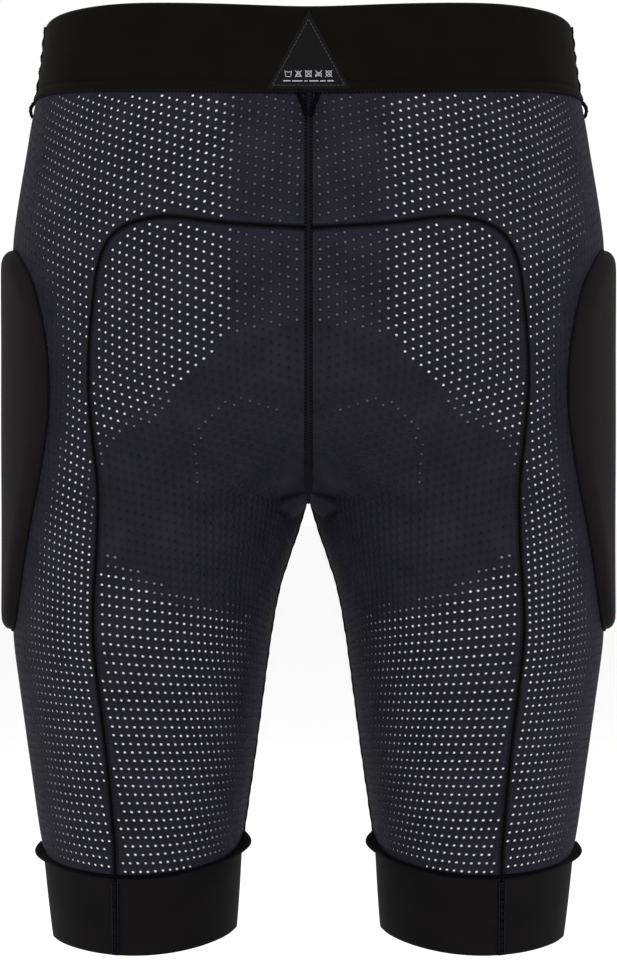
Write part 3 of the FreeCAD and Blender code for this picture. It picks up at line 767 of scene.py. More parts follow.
def panels():
    for name, line, front, centre, pivot, shear in (("rear_panel", REAR_LINE, False, 170, 150, 0.0),
                                                    ("side_panel", SIDE_LINE, False, 60, 0, -0.03),
                                                    ("front_panel", FRONT_LINE, True, 170, 150, 0.0)):
        holes = hole_places(line, centre, pivot, shear)
        # The three panels crowd together at the crotch, so it has no holes.
        crotch = (at(holes)[0][:, 0] < 14) & (holes[:, 1] > 236) & (holes[:, 1] < FORK_DROP + 6)
        holes = holes[~crotch]
        panel(line, holes, seen_through(holes, front), name + "_mesh", name)


# ---------------------------------------------------------------- hip pockets
COVER_LOW, COVER_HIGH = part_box("hip_pocket_cover_right")
COVER_TOP = -COVER_HIGH.z / MM
COVER_FOOT = -COVER_LOW.z / MM
COVER_HALF = 0.955 * (COVER_HIGH.y - COVER_LOW.y) / 2 / MM
COVER_RISE = 6.4
COVER_EDGE = 9.0
COVER_THICK = 0.8
LINING_MARGIN, LINING_NEAR, LINING_FAR = 8, 1.4, 2.2
# Half widths of the pocket, as shares of the widest, at shares of the way down.
POCKET_SHAPE = curve([(0.0, 0.30), (0.012, 0.46), (0.04, 0.62), (0.083, 0.775), (0.14, 0.87), (0.20, 0.935),
                      (0.28, 0.985), (0.35, 1.0), (0.42, 0.99), (0.49, 0.955), (0.60, 0.87), (0.70, 0.765),
                      (0.80, 0.65), (0.92, 0.50), (0.985, 0.36), (1.0, 0.16)], 0.01)


def pocket_line():
    drop = COVER_TOP + POCKET_SHAPE[:, 0] * (COVER_FOOT - COVER_TOP)
    half = POCKET_SHAPE[:, 1] * COVER_HALF
    back, fore = (np.array([(along_at_y(sign * w, d), d) for w, d in zip(half, drop)]) for sign in (-1, 1))
    line = closed_line(back, fore[::-1])
    return respaced(np.vstack([line, line[:1]]), 2.0)[:-1]


POCKET_LINE = pocket_line()
POCKET_CENTRE = POCKET_LINE.mean(0)


def cover_height(distance):
    """The cover springs up steeply from its sewn edge and then lies flat over the foam."""
    t = np.clip(distance / COVER_EDGE, 0, 1)
    return 0.5 + (COVER_RISE - 0.5) * np.sqrt(1 - (1 - t) ** 2.6)


def pocket_ply(name, line, flat, triangles, outer_rise, inner_rise):
    """One knitted ply of the hip pockets, between two heights above the fabric."""
    build = Build()
    build.add(at(flat, outer_rise)[0], flat)
    start = build.add(at(flat, inner_rise)[0], flat)
    build.face(triangles)
    build.face(triangles[:, ::-1] + start)
    close_rim(build, line, start)
    both_sides(build, name + "_knit", [COVER_KNIT], "smooth_knit", name, **cut_size(line))


def pocket_plies():
    """The cover, with rings of places where it curves up from its edge, and the flat lining."""
    rings = [POCKET_LINE + unit(POCKET_CENTRE - POCKET_LINE) * inset for inset in (0.6, 1.4, 2.5, 4.0, 6.0)]
    flat, triangles = net(POCKET_LINE, np.vstack(rings + [filled(POCKET_LINE, 2.5, 7.5)]))
    distance = line_distance(POCKET_LINE, flat)
    distance[:len(POCKET_LINE)] = 0
    ripple = 0.10 * np.sin(flat[:, 1] / 17 + flat[:, 0] / 29) * smooth(distance / 14)
    height = cover_height(distance) + ripple
    pocket_ply("hip_pocket_cover", POCKET_LINE, flat, triangles, height,
               np.maximum(height - COVER_THICK, 0.05))
    line = POCKET_LINE + unit(POCKET_LINE - POCKET_CENTRE) * LINING_MARGIN
    pocket_ply("hip_pocket_lining", line, *net(line, filled(line, 6, 3)), -LINING_NEAR, -LINING_FAR)


# ---------------------------------------------------------------- seams
def frame_along(point, normal, closed=False):
    """The unit directions across a line and up from it."""
    tangent = np.roll(point, -1, 0) - np.roll(point, 1, 0) if closed else np.gradient(point, axis=0)
    tangent = unit(tangent)
    side = unit(np.cross(tangent, normal))
    return side, np.cross(side, tangent)


def dense(point, normal, spacing=1.0):
    """A line and its normals again, at an even spacing."""
    both = respaced(np.hstack([point, normal]), spacing)
    return both[:, :3], unit(both[:, 3:])


def sweep(build, rings, weave, slot, closed=False):
    """Faces over rings of points along a line, which is closed or has its two ends capped."""
    count, sides = rings.shape[:2]
    start = build.add(rings, weave)
    last = start + (count - 1) * sides
    build.face(grid_faces(start, count, sides, wrap=True, flip=True), slot)
    k = np.arange(sides)
    after = (k + 1) % sides
    if closed:
        build.face(np.stack([start + k, start + after, last + after, last + k], -1), slot)
    else:
        build.face([start + k, last + k[::-1]], slot)


def tube(build, line, radius, sides, slot):
    """A thread: a round tube along a line of points."""
    side, other = frame_along(line, np.array([0.3, 0.2, 0.93]))
    angle = np.arange(sides) * 2 * math.pi / sides
    rings = line[:, None] + radius * (side[:, None] * np.cos(angle)[:, None]
                                      + other[:, None] * np.sin(angle)[:, None])
    run = np.arange(len(line))[:, None] * 0.3
    sweep(build, rings, np.stack(np.broadcast_arrays(angle * radius, run), -1), slot)


def ridge(build, point, normal, width, height, sink=0.5, closed=False, wave=0.0, slot=0):
    """The folded allowances of a seam: a rounded ridge that stands on the fabric."""
    side, up = frame_along(point, normal, closed)
    angle = np.linspace(0, math.pi, 9)
    run = run_along(point)[:, None]
    swell = 1 + wave * (np.sin(run * 0.9) + np.sin(run * 0.37 + 1)) * 0.5
    high = np.sin(angle) ** 0.8 * height * swell - sink
    rings = (point[:, None] + side[:, None] * (np.cos(angle) * width / 2)[:, None]
             + up[:, None] * high[..., None])
    foot = point - up * (sink + 0.3)
    edge = side * width / 2
    rings = np.concatenate([rings, np.stack([foot - edge, foot + edge], 1)], 1)
    weave = np.stack(np.broadcast_arrays(np.arange(rings.shape[1]) * width / 8, run), -1)
    sweep(build, rings, weave, slot, closed)


def overlock(build, point, normal, width, height, pitch=1.9, thread=0.2, sink=0.5):
    """Thread loops that wrap over a seam's ridge, one every pitch."""
    run = run_along(point)
    steps = np.linspace(0, run[-1], max(2, int(run[-1] / pitch)) * 10 + 1)
    middle, up = (np.stack([np.interp(steps, run, values[:, k]) for k in range(3)], -1)
                  for values in (point, normal))
    side, up = frame_along(middle, up)
    turn = np.arange(len(steps)) * math.pi / 5
    across = np.cos(turn) * (width / 2 + thread * 0.3)
    high = np.abs(np.sin(turn)) ** 0.8 * height - sink + thread * 0.5
    tube(build, middle + side * across[:, None] + up * high[:, None], thread, 4, 1)


def bound(build, point, normal, width, height, pitch=1.9, thread=0.2, sink=0.5, **shape):
    """A ridge with thread loops over the whole of it."""
    ridge(build, point, normal, width, height, sink, **shape)
    overlock(build, point, normal, width, height, pitch, thread, sink)


def seam(name, node, places, width=3.7, height=1.6):
    """A raised overlocked seam along a line of places, on the right and mirrored."""
    point, normal = dense(*at(places))
    build = Build()
    ridge(build, point, normal, width * 1.25, height * 0.5, wave=0.12, slot=2)
    ridge(build, point, normal, width * 0.55, height, wave=0.12)
    overlock(build, point, normal, width * 1.15, height * 0.55)
    both_sides(build, name, SEAM_MATERIALS, "overlock_thread", node)


def centre_seams():
    for side, sign in (("back", 1), ("front", -1)):
        point, normal = at(centre_places(BAND_DROP + 1, FORK_DROP - 0.3, sign))
        point[:, 0] = normal[:, 0] = 0
        point, normal = dense(point, unit(normal))
        build = Build()
        ridge(build, point, normal, 4.8, 1.0, wave=0.1)
        ridge(build, point, normal, 1.5, 1.9, wave=0.1, slot=2)
        overlock(build, point, normal, 4.4, 1.0)
        if sign > 0:
            # The allowances spread apart below the waistband, like a narrow V.
            for lean in (-1, 1):
                top = point[:14].copy()
                top[:, 0] += lean * (4.2 * np.linspace(1, 0, len(top)) + 0.8)
                ridge(build, top + normal[:14] * 0.4, normal[:14], 2.6, 1.9)
        piece = build.made("centre_%s_overlock" % side, SEAM_MATERIALS)
        finished(piece, "root", "centre_%s_seam" % side)


# ---------------------------------------------------------------- bands
WAIST_PLY = 1.35
INNER_PLIES = 1.45


def waistbands():
    """The outer plies: their top edge is a fold, and a stitched line is drawn in near the lower one."""
    steps = np.concatenate([[0.0, 0.35, 0.8, 1.5, 2.5], np.linspace(4, BAND_DROP - 8, 14),
                            BAND_DROP - np.array([6.6, 5.6, 5.0, 4.4, 3.2, 1.6, 0.6, -0.6])])
    fold = 1.3 * np.clip(1 - steps / 2.2, 0, 1) ** 2
    stitched = 0.45 * np.exp(-((steps - (BAND_DROP - 5.0)) / 0.7) ** 2)
    belly = -0.5 * np.sin(np.clip(steps / BAND_DROP, 0, 1) * math.pi)
    hem = -0.7 * smooth((steps - BAND_DROP + 5) / 3)
    near = (fold + stitched + belly + hem)[:, None, None]
    share = np.linspace(0, 1, 110)
    drop = steps[:, None] + np.zeros(len(share))
    run = share * end_along(drop)
    for side, sign in (("back", 1), ("front", -1)):
        point, normal = (np.concatenate([half, (half * LEFT)[:, -2::-1]], 1)
                         for half in place(run * sign, drop))
        whole_run = np.concatenate([run, 2 * run[:, -1:] - run[:, -2::-1]], 1)
        weave = np.stack([whole_run, np.broadcast_to(drop[:, :1], whole_run.shape)], -1)
        build = Build()
        closed_sheet(build, point - normal * near, point - normal * WAIST_PLY, weave, flip=sign < 0)
        piece = build.made("waistband_%s_knit" % side, [ELASTIC])
        finished(piece, "root", "waistband_" + side)


def whole_ring(drop, total, count, rise=0.0):
    """One closed line round the waist, right back to left back to left front, with its normals."""
    run = np.linspace(0, float(total), count)
    return [np.concatenate([back, (back * LEFT)[-2::-1], (fore * LEFT)[1:], fore[-2:0:-1]])
            for back, fore in zip(place(run, drop, rise), place(-run, drop, rise))]


def waist_ring(name, node, steps, near, thick, material):
    """A closed band all the way round the waist, thick deep and near inwards from the surface."""
    rings = [whole_ring(drop, end_along(drop), 56) for drop in steps]
    point, normal = (np.stack(part) for part in zip(*rings))
    near = near[:, None, None]
    run = np.linspace(0, 4 * float(end_along(steps[0])), point.shape[1])
    weave = np.stack(np.broadcast_arrays(run, steps[:, None]), -1)
    build = Build()
    closed_sheet(build, point - normal * near, point - normal * (near + thick), weave, wrap=True)
    piece = finished(build.made(name, [material]), "root", node)


def waist_inner_layers():
    """The elastic, and the lining whose upper edge meets the fold of the waistband."""
    steps = np.concatenate([[3.0, 3.6], np.arange(4.6, BAND_DROP - 3.4, 0.9)])
    waist_ring("waist_elastic_braid", "waist_elastic", steps,
               INNER_PLIES + 0.12 * (np.arange(len(steps)) % 2), 0.6, ELASTIC)
    steps = np.concatenate([[0.6, 1.2, 2.4], np.linspace(5, BAND_DROP - 1, 14)])
    waist_ring("waistband_lining_knit", "waistband_lining", steps,
               INNER_PLIES + 0.85 * smooth((steps - 0.6) / 1.8), 0.75, LINING)


def leg_bands():
    steps = np.concatenate([[CUFF_DROP - 0.5, CUFF_DROP + 0.4], np.linspace(CUFF_DROP + 2, HEM_DROP - 8, 12),
                            HEM_DROP - np.array([5.6, 4.8, 4.0, 2.4, 1.2, 0.5, 0])])
    share = np.linspace(-1, 1, 220, endpoint=False)
    drop = steps[:, None] + np.zeros(len(share))
    turned = 1.2 * smooth((steps - HEM_DROP + 1.6) / 1.6) ** 2
    belly = 0.25 * np.sin((steps - CUFF_DROP) / (HEM_DROP - CUFF_DROP) * math.pi)
    far = np.where(steps < HEM_DROP - 6, 1.0, 1.9)
    build = Build()
    shell(build, share * end_along(drop), drop, (-0.4 + turned - belly)[:, None], far[:, None], wrap=True)
    around = float(2 * end_along((CUFF_DROP + HEM_DROP) / 2) * MM)
    both_sides(build, "leg_band_knit", [LEG_ELASTIC], "black_elastic", "leg_band",
               flat=(around, float((HEM_DROP - CUFF_DROP) * MM)))


def leg_band_seams():
    """The seam round the top of the leg band. Its allowance curls outwards at the two sides."""
    share = np.linspace(-1, 1, 260, endpoint=False)
    along = share * end_along(CUFF_DROP)
    build = Build()
    bound(build, *place(along, CUFF_DROP - 1.0), 2.6, 1.1, closed=True, wave=0.15)
    # Curling allowance: a thin strip whose section is a hook that stands away from the leg.
    flare = np.abs(np.cos(share * math.pi)) ** 14 * (0.85 + 0.15 * np.sin(share * 40))
    v = np.linspace(0, 1, 9)[:, None]
    point, normal = place(along, CUFF_DROP - 0.5)
    out = np.sin(v * math.pi * 0.9) * (0.5 + 4.4 * flare)
    middle = point[None] + normal[None] * (out + 0.4)[..., None]
    middle[..., 2] += (v - 0.15) * (1.6 + 9.6 * flare)
    lean = unit(np.gradient(middle, axis=0))
    offset = 0.45 * unit(np.cross(np.roll(middle, -1, 1) - np.roll(middle, 1, 1), lean))
    weave = np.stack(np.broadcast_arrays(along, v * 8), -1)
    rows, columns = middle.shape[:2]
    outer = build.add(middle + offset, weave)
    inner = build.add(middle - offset, weave)
    build.face(grid_faces(outer, rows, columns, wrap=True))
    build.face(grid_faces(inner, rows, columns, wrap=True, flip=True))
    for row, turn in ((0, -1), (rows - 1, 1)):
        i = row * columns + np.arange(columns)
        j = np.roll(i, -1)
        build.face(np.stack([outer + j, outer + i, inner + i, inner + j], -1)[:, ::turn])
    both_sides(build, "leg_band_joining_overlock", SEAM_MATERIALS[:2], "overlock_thread",
               "leg_band_joining_seam")


def flatlock(name, node, x, top, bottom):
    """A flat seam: two rows of needle stitches with a zigzag between them."""
    spacing, stitch = 0.5, 1.6
    line = np.array([(along_at_x(x, d), d) for d in np.arange(top, bottom + spacing / 2, spacing)])
    point, normal = at(line, 0.6)
    build = Build()
    ridge(build, point, normal, 4.4, 0.8, sink=0.3)
    side, up = frame_along(point, normal)
    run = np.arange(len(point)) * spacing
    hop = 0.55 + 0.25 * np.abs(np.sin(run * math.pi / stitch))
    for offset in (-1.6, 1.6):
        tube(build, point + side * offset + up * hop[:, None], 0.26, 5, 1)
    for phase in (0.0, 0.5):
        zig = 1.5 * (2 * np.abs((run / stitch + phase) % 1 * 2 - 1) - 1)
        tube(build, point + side * zig[:, None] + up * 0.75, 0.2, 4, 1)
    both_sides(build, name, SEAM_MATERIALS[:2], "overlock_thread", node)


def side_seams():
    """The upright seams at the waistband's two sides, with a loop of allowance below the band."""
    drop = np.arange(1.0, BAND_DROP + 2, 1.0)
    build = Build()
    point, normal = place(np.zeros(len(drop)), drop, 0.6)
    point = point + normal * (0.35 * np.sin(drop * 0.75) * smooth(drop / 10))[:, None]
    bound(build, point, normal, 2.6, 1.3, 2.2)
    turn = np.linspace(0, 1, 18)
    loop = place(np.zeros(len(turn)), BAND_DROP + 9 * turn, 0.3 + 2.0 * np.sin(turn * math.pi))
    bound(build, *loop, 5.0, 1.4, 2.0)
    both_sides(build, "waistband_side_overlock", SEAM_MATERIALS[:2], "overlock_thread",
               "waistband_side_seam")


def waist_seam():
    """The band is sewn over the panels: a narrow shadowed step with its own threads."""
    build = Build()
    ring = whole_ring(BAND_DROP + 0.4, end_along(BAND_DROP), 150, 0.1)
    bound(build, *ring, 2.6, 1.1, 2.2, 0.16, closed=True)
    piece = build.made("waist_overlock", SEAM_MATERIALS[:2])
    finished(piece, "root", "waist_seam")


def pocket_seams():
    """The thin corded edge round each hip pocket, open where the mouth is."""
    mouth = (POCKET_LINE[:, 1] < COVER_TOP + 6) & (np.abs(POCKET_LINE[:, 0]) < 0.33 * COVER_HALF)
    order = np.roll(np.arange(len(POCKET_LINE)), -int(np.argmax(mouth)))
    order = order[~mouth[order]]
    build = Build()
    bound(build, *dense(*at(POCKET_LINE[order], 0.3)), 1.9, 1.3, 1.6, 0.15)
    both_sides(build, "hip_pocket_edge_overlock", SEAM_MATERIALS[:2], "overlock_thread",
               "hip_pocket_edge_seam")


# ---------------------------------------------------------------- protectors
PAD_LOW, PAD_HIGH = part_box("hip_pad_right")
PAD_TOP, PAD_FOOT = PAD_HIGH.z / MM, PAD_LOW.z / MM
PAD_HALF = (PAD_HIGH.y - PAD_LOW.y) / 2 / MM
PAD_WAIST = PAD_TOP - (PAD_TOP - PAD_FOOT) * 0.583
PAD_CORNER, PAD_BEVEL = 9, 5.0
FOAM_CELL = 17.0


def hip_cylinder(y, z, rise):
    """A point on the straight hip cylinder, rise outside it."""
    angle = np.arcsin(np.clip(y / HIP_DEPTH, -1, 1))
    return np.stack([(HIP_WIDTH + rise) * np.cos(angle), HIP_Y + (HIP_DEPTH + rise) * np.sin(angle), z], -1)


def protectors():
    """Moulded foam: a bevelled plate with channels, so that it bends round the hip."""
    z = (PAD_TOP + (PAD_FOOT - PAD_TOP) * np.linspace(0, 1, 120))[:, None]
    narrow = PAD_HALF * 0.51 * smooth((PAD_WAIST - z) / (PAD_WAIST - PAD_FOOT))
    corner = np.clip(np.minimum(z - PAD_FOOT, PAD_TOP - z) / PAD_CORNER, 0, 1)
    width = PAD_HALF - narrow - PAD_CORNER * (1 - np.sqrt(1 - (1 - corner) ** 2))
    y = width * np.linspace(-1, 1, 80)
    z = np.broadcast_to(z, y.shape)
    edge = np.minimum(np.minimum(width - np.abs(y), z - PAD_FOOT), PAD_TOP - z)
    bevel = smooth(edge / PAD_BEVEL)
    off_centre = np.maximum(np.abs((z - PAD_TOP) / FOAM_CELL % 1 - 0.5), np.abs(y / FOAM_CELL % 1 - 0.5))
    groove = smooth(1 - np.clip((0.5 - off_centre) / 0.09, 0, 1))
    build = Build()
    closed_sheet(build, hip_cylinder(y, z, 1.4 + 3.8 * bevel - 1.3 * groove * bevel),
                 hip_cylinder(y, z, 1.3 - 0.5 * bevel), np.stack([y, z], -1), flip=True)
    both_sides(build, "hip_protector_foam", [FOAM], "impact_foam", "hip_pad", body="protector", fill=0.9)


# ---------------------------------------------------------------- seat pad
SEAT_UPPER = [(0, 172), (43, 175), (64, 195), (80, 215), (104, 230), (108, 246)]
SEAT_LOWER = [(0, 262), (33, 300), (50, 313), (81, 300), (98, 291), (108, 264)]
SEAT_HALF = 108
FRONT_PAD_HALF = 38
FRONT_PAD_TOP = 186
PLY_NEAR, PLY_FAR = 1.5, 2.1
CUSHION_NEAR, CUSHION_FAR = 2.9, 7.6
LOBE_UPPER = [(14, 208), (30, 209), (46, 215), (56, 226), (61, 238)]
LOBE_LOWER = [(14, 250), (61, 250)]
# The cloth simulation that puffs the cushions up: lengths in mm, and how far a point may move.
VOXEL, PRESSURE, PUFF_LIMIT, PUFF_FRAMES = 2.2, 4, 1.2, 20


def coordinates(mesh):
    out = np.empty(len(mesh.vertices) * 3, np.float32)
    mesh.vertices.foreach_get("co", out)
    return out.reshape(-1, 3).astype(float)


def applied(piece, name, kind, **settings):
    """Put a modifier on a piece and apply it."""
    bpy.context.view_layer.objects.active = piece
    modifier = piece.modifiers.new(name, kind)
    for key, value in settings.items():
        setattr(modifier, key, value)
    bpy.ops.object.modifier_apply(modifier=name)


def simulated(pieces):
    """Puff padded pieces up with a cloth simulation, capped, and leave no cloth on them."""
    scene = bpy.context.scene
    for piece in pieces:
        cloth = piece.modifiers.new("puff", "CLOTH")
        cloth.settings.use_pressure = True
        cloth.settings.uniform_pressure_force = PRESSURE
        cloth.settings.effector_weights.gravity = 0
        cloth.settings.quality = 4
        cloth.point_cache.frame_start = 1
        cloth.point_cache.frame_end = PUFF_FRAMES
    for step in range(1, PUFF_FRAMES + 1):
        scene.frame_set(step)
        depsgraph = bpy.context.evaluated_depsgraph_get()
        moved = [coordinates(piece.evaluated_get(depsgraph).data) for piece in pieces]
    for piece, end in zip(pieces, moved):
        start = coordinates(piece.data)
        shift = end - start
        far = np.linalg.norm(shift, axis=1, keepdims=True)
        shift = shift * np.minimum(1, PUFF_LIMIT * MM / np.maximum(far, 1e-9))
        piece.modifiers.remove(piece.modifiers["puff"])
        piece.data.vertices.foreach_set("co", (start + shift).astype(np.float32).ravel())
        piece.data.update()
    scene.frame_set(1)


def inflate(pieces):
    """Remesh padded pieces, puff them up and smooth them, and give them their weave places again."""
    for piece in pieces:
        applied(piece, "voxels", "REMESH", mode="VOXEL", voxel_size=VOXEL * MM)
    simulated(pieces)
    for piece in pieces:
        applied(piece, "soften", "SUBSURF", levels=1, render_levels=1)
        piece.data.polygons.foreach_set("use_smooth", [True] * len(piece.data.polygons))
        point = coordinates(piece.data) / MM
        set_attribute(piece.data, "weave", "FLOAT_VECTOR", "vector", point[:, [0, 2, 1]])


def region(upper, lower, across, down, widest, narrowest=0.0, front=False):
    """A net of places, and their drops, between an upper and a lower outline given as (x, drop)."""
    x = np.linspace(widest, narrowest, across)
    top, low = (np.interp(x, *np.array(outline, float).T) for outline in (upper, lower))
    drop = top + (low - top) * np.linspace(0, 1, down)[:, None]
    x = np.broadcast_to(x, drop.shape)
    along = np.array([[along_at_x(a, d, front) for a, d in zip(*row)] for row in zip(x, drop)])
    limit = end_along(drop) - 0.4
    return x, np.clip(along, -limit, limit), drop


def seat_pad():
    """The fleece base with its ribs, and its bound edges."""
    build = Build()
    x, along, drop = region(SEAT_UPPER, SEAT_LOWER, 60, 90, SEAT_HALF)
    ribs = 0.4 * np.abs(np.sin(drop / 4.5)) * smooth((110 - x) / 14)
    shell(build, along, drop, PLY_NEAR, PLY_FAR + ribs)
    net_places = np.stack([along, drop], -1)
    rear_rim = np.concatenate([net_places[0, ::-1], net_places[:, 0], net_places[-1]])
    _, along, drop = region([(0, FRONT_PAD_TOP), (FRONT_PAD_HALF, FRONT_PAD_TOP)],
                            [(0, FORK_DROP), (FRONT_PAD_HALF, FORK_DROP + 14)],
                            26, 50, FRONT_PAD_HALF, front=True)
    ribs = 0.4 * np.abs(np.sin(drop / 4.5))
    shell(build, along[:, ::-1], drop[:, ::-1], PLY_NEAR, (PLY_FAR + ribs)[:, ::-1])
    net_places = np.stack([along, drop], -1)
    front_rim = np.concatenate([net_places[0, ::-1], net_places[:, 0]])
    area = abs(signed_area(closed_line(rear_rim))) + (FORK_DROP - FRONT_PAD_TOP) * FRONT_PAD_HALF
    halves = Build()
    for sign in (1, -1):
        start = halves.count
        for points, weave in zip(build.points, build.weave):
            halves.add(points * (sign, 1, 1), weave)
        halves.face([[start + i for i in f[::sign]] for f in build.faces])
    piece = finished(halves.made("chamois_base_fleece", [FLEECE]), "root", "chamois_base")
    for side, rim in (("rear", rear_rim), ("front", front_rim)):
        point, normal = at(rim)
        point, normal = dense(point - normal * (PLY_FAR + 0.4), -normal, 1.5)
        binding = Build()
        for sign in (1, -1):
            turned = (values[::sign] * (sign, 1, 1) for values in (point, normal))
            bound(binding, *turned, 3.0, 0.9, 2.4, 0.15, sink=0.2)
        piece = binding.made("chamois_%s_binding" % side, SEAM_MATERIALS[:2])
        finished(piece, "root", "chamois_%s_edge_binding" % side)


def cushions():
    """Two cushions under the sit bones and one along the middle, puffed up by simulation."""
    lobe, middle = Build(), Build()
    _, along, drop = region(LOBE_UPPER, LOBE_LOWER, 24, 24, 60, 15)
    shell(lobe, along, drop, CUSHION_NEAR, CUSHION_FAR)
    x, y = np.meshgrid(11.5 * np.linspace(-1, 1, 14), HIP_Y + 56 * np.linspace(-1, 1, 40))
    foot = np.interp(np.abs(y - HIP_Y), [0, 30, 60], [FORK_DROP - 4.5, FORK_DROP - 6, FORK_DROP - 12])
    closed_sheet(middle, np.stack([x, y, 6.5 - foot], -1), np.stack([x, y, -foot], -1),
                 np.stack([x, y], -1))
    made = [(lobe.made("chamois_cushion_padded_right", [FLEECE]), "chamois_cushion_right"),
            (lobe.made("chamois_cushion_padded_left", [FLEECE], True), "chamois_cushion_left"),
            (middle.made("chamois_centre_cushion_padded", [FLEECE]), "chamois_centre_cushion")]
    inflate([piece for piece, _ in made])
    for piece, node in made:
        finished(piece, "root", node)


# ---------------------------------------------------------------- label
LABEL_LOW, LABEL_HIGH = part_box("back_label")
LABEL_HALF = (LABEL_HIGH.x - LABEL_LOW.x) / 2 / MM
LABEL_TOP = -LABEL_HIGH.z / MM
LABEL_BASE = -LABEL_LOW.z / MM + 1.6
LABEL_HEIGHT = LABEL_BASE - LABEL_TOP
STITCH_INSET, STITCH_LENGTH = 2.3, 2.0
SYMBOL_SIZE, SYMBOL_PITCH, SYMBOL_UP, BARS_UP = 1.75, 5.3, 8.4, 4.6


def near_centre(x, drop, rise):
    """Points beside the back's centre line, x to either side."""
    x, drop = np.broadcast_arrays(np.asarray(x, float), np.asarray(drop, float))
    point, _ = place(end_along(drop) - np.abs(x), drop, rise)
    return point * (np.where(x < 0, -1.0, 1.0)[..., None] * np.array([1, 0, 0]) + np.array([0, 1, 1]))


def pictograms():
    """Five plain laundry shapes, each in a unit box, as lists of strokes."""
    round_line = [(0.8 * math.cos(a), 0.8 * math.sin(a)) for a in np.linspace(0, 2 * math.pi, 17)]
    cross = [[(-1, -1), (1, 1)], [(-1, 1), (1, -1)]]
    tub = [[(-1, 0.9), (-0.75, -0.9), (0.75, -0.9), (1, 0.9)],
           [(-0.9, 0.45), (-0.4, 0.6), (0, 0.4), (0.4, 0.6), (0.9, 0.45)]]
    triangle = [[(-0.9, -0.8), (0.9, -0.8), (0, 0.9), (-0.9, -0.8)]]
    square = [[(-0.8, -0.8), (0.8, -0.8), (0.8, 0.8), (-0.8, 0.8), (-0.8, -0.8)]]
    iron = [[(-1, -0.6), (0.9, -0.6), (0.7, 0.3), (-0.4, 0.3), (-1, -0.6)]]
    return [tub, triangle + cross, square + cross, iron + cross, [round_line] + cross]


def label():
    build = Build()
    rows = np.linspace(0, 1, 34)[:, None]
    half = LABEL_HALF * np.maximum(rows, 0.012)
    x, drop = np.broadcast_arrays(half * np.linspace(-1, 1, 25), LABEL_TOP + LABEL_HEIGHT * rows)
    edge = np.minimum(np.minimum(half - np.abs(x), 9) * 0.89, LABEL_BASE - drop)
    rise = 0.75 + 0.5 * smooth(edge) - 0.25 * np.exp(-((edge - 2.2) / 0.5) ** 2)
    closed_sheet(build, near_centre(x, drop, rise), near_centre(x, drop, 0.35),
                 np.stack([x, drop], -1), flip=True)
    # One line of stitches follows each of the three edges.
    tip = LABEL_TOP + STITCH_INSET * math.hypot(LABEL_HALF, LABEL_HEIGHT) / LABEL_HALF
    foot = LABEL_BASE - STITCH_INSET
    wide = LABEL_HALF * (foot - tip) / LABEL_HEIGHT
    hop = 1.12 + 0.16 * np.sin(np.linspace(0, math.pi, 5))
    for start, end in (((0, tip), (wide, foot)), ((0, tip), (-wide, foot)), ((-wide, foot), (wide, foot))):
        start, end = np.array(start), np.array(end)
        count = int(np.linalg.norm(end - start) / STITCH_LENGTH)
        for k in range(count):
            t = (np.linspace(0.15, 0.8, 5) + k) / count
            line = start + (end - start) * t[:, None]
            tube(build, near_centre(line[:, 0], line[:, 1], hop), 0.17, 5, 1)
    strokes = [(np.array(stroke) * SYMBOL_SIZE * (1, -1) + ((k - 2) * SYMBOL_PITCH, LABEL_BASE - SYMBOL_UP),
                1.3, 0.2) for k, shapes in enumerate(pictograms()) for stroke in shapes]
    # A row of plain bars stands where small print would be.
    strokes += [(np.array([(start, LABEL_BASE - BARS_UP), (end, LABEL_BASE - BARS_UP)]), 1.27, 0.34)
                for start, end in ((-13.2, -9.4), (-8.6, -3.2), (-2.2, -0.6), (0.4, 5.2), (6.0, 9.0),
                                   (9.8, 13.2))]
    for line, rise, radius in strokes:
        line = respaced(line, 0.4)
        tube(build, near_centre(line[:, 0], line[:, 1], rise), radius, 4, 2)
    piece = finished(build.made("back_label_woven", [LABEL, STITCH, PRINT]), "root",
                     "back_label")


# ---------------------------------------------------------------- stage
FLOOR_BELOW_HEM = 120
MIDDLE = Vector((0, 0, -0.25))
CAMERA_PLACE = (0, -2.2, -0.2474)
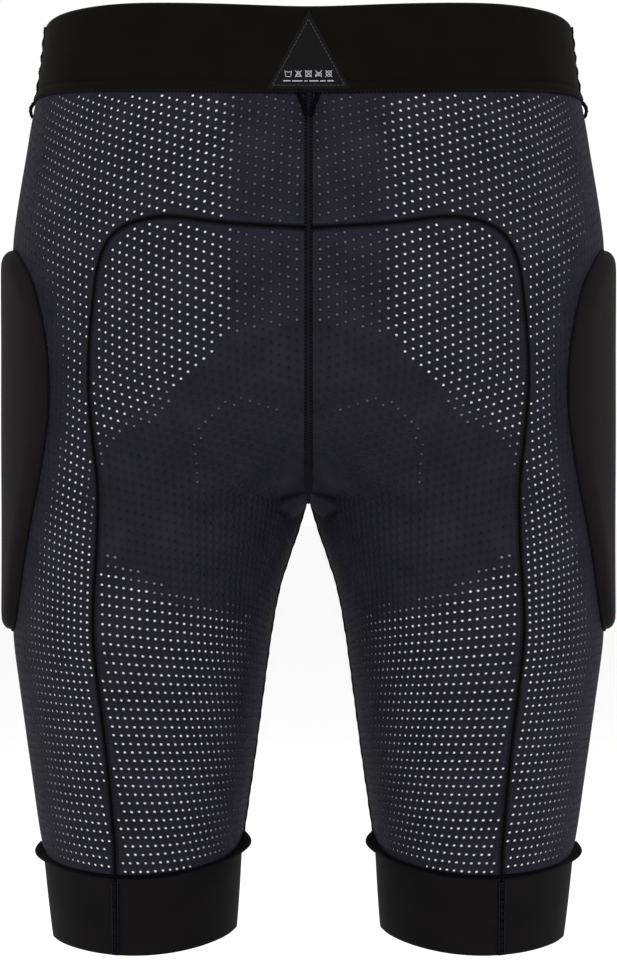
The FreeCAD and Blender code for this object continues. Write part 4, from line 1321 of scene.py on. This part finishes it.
# Soft area lamps: place, size and power.
LAMPS = {"key": ((-1.1, -2.0, 0.9), 1.4, 26), "fill": ((1.4, -1.7, 0.4), 1.6, 16),
         "top": ((0, 0.4, 1.8), 1.6, 14)}


def stage_and_camera():
    scene = bpy.context.scene
    scene.world = bpy.data.worlds.new("studio")
    scene.world.use_nodes = True
    background = scene.world.node_tree.nodes["Background"]
    background.inputs["Color"].default_value = (1, 1, 1, 1)
    background.inputs["Strength"].default_value = 1.0
    material, tree, shader = nodes_of("floor_white")
    grain = linked(tree, "TexNoise", {"Scale": 3.0, "Detail": 2}).outputs["Fac"]
    colour = linked(tree, "Mix", {0: grain, 6: (0.93, 0.93, 0.93, 1), 7: (0.96, 0.96, 0.96, 1)},
                    data_type="RGBA")
    dressed(tree, shader, {"Base Color": colour.outputs[2]}, {"Roughness": 0.9})
    bpy.ops.mesh.primitive_plane_add(size=60, location=(0, 0, -(HEM_DROP + FLOOR_BELOW_HEM) * MM))
    floor = bpy.context.object
    floor.name = "floor"
    floor.data.materials.append(material)
    for name, (spot, size, power) in LAMPS.items():
        data = bpy.data.lights.new(name, "AREA")
        data.size = size
        data.energy = power
        lamp = bpy.data.objects.new(name, data)
        scene.collection.objects.link(lamp)
        lamp.location = spot
        lamp.rotation_euler = (MIDDLE - Vector(spot)).to_track_quat("-Z", "Y").to_euler()
    data = bpy.data.cameras.new("camera")
    data.lens = 150
    data.sensor_width = 36
    camera = bpy.data.objects.new("camera", data)
    scene.collection.objects.link(camera)
    camera.location = CAMERA_PLACE
    camera.rotation_euler = (math.pi / 2, 0, 0)
    scene.camera = camera
    scene.view_settings.view_transform = "Standard"


panels()
pocket_plies()
protectors()
seat_pad()
cushions()
waistbands()
label()
waist_inner_layers()
leg_bands()
leg_band_seams()
side_seams()
waist_seam()
pocket_seams()
centre_seams()
seam("arch_overlock", "arch_seam", arch_places[1:])
seam("front_side_overlock", "front_side_seam", front_places[1:])
seam("inseam_overlock", "inseam", centre_places(FORK_DROP + 0.5, CUFF_DROP, 1), width=3.6, height=1.4)
flatlock("leg_band_flatlock", "leg_band_vertical_seam", 103, CUFF_DROP + 2, HEM_DROP - 0.6)
stage_and_camera()
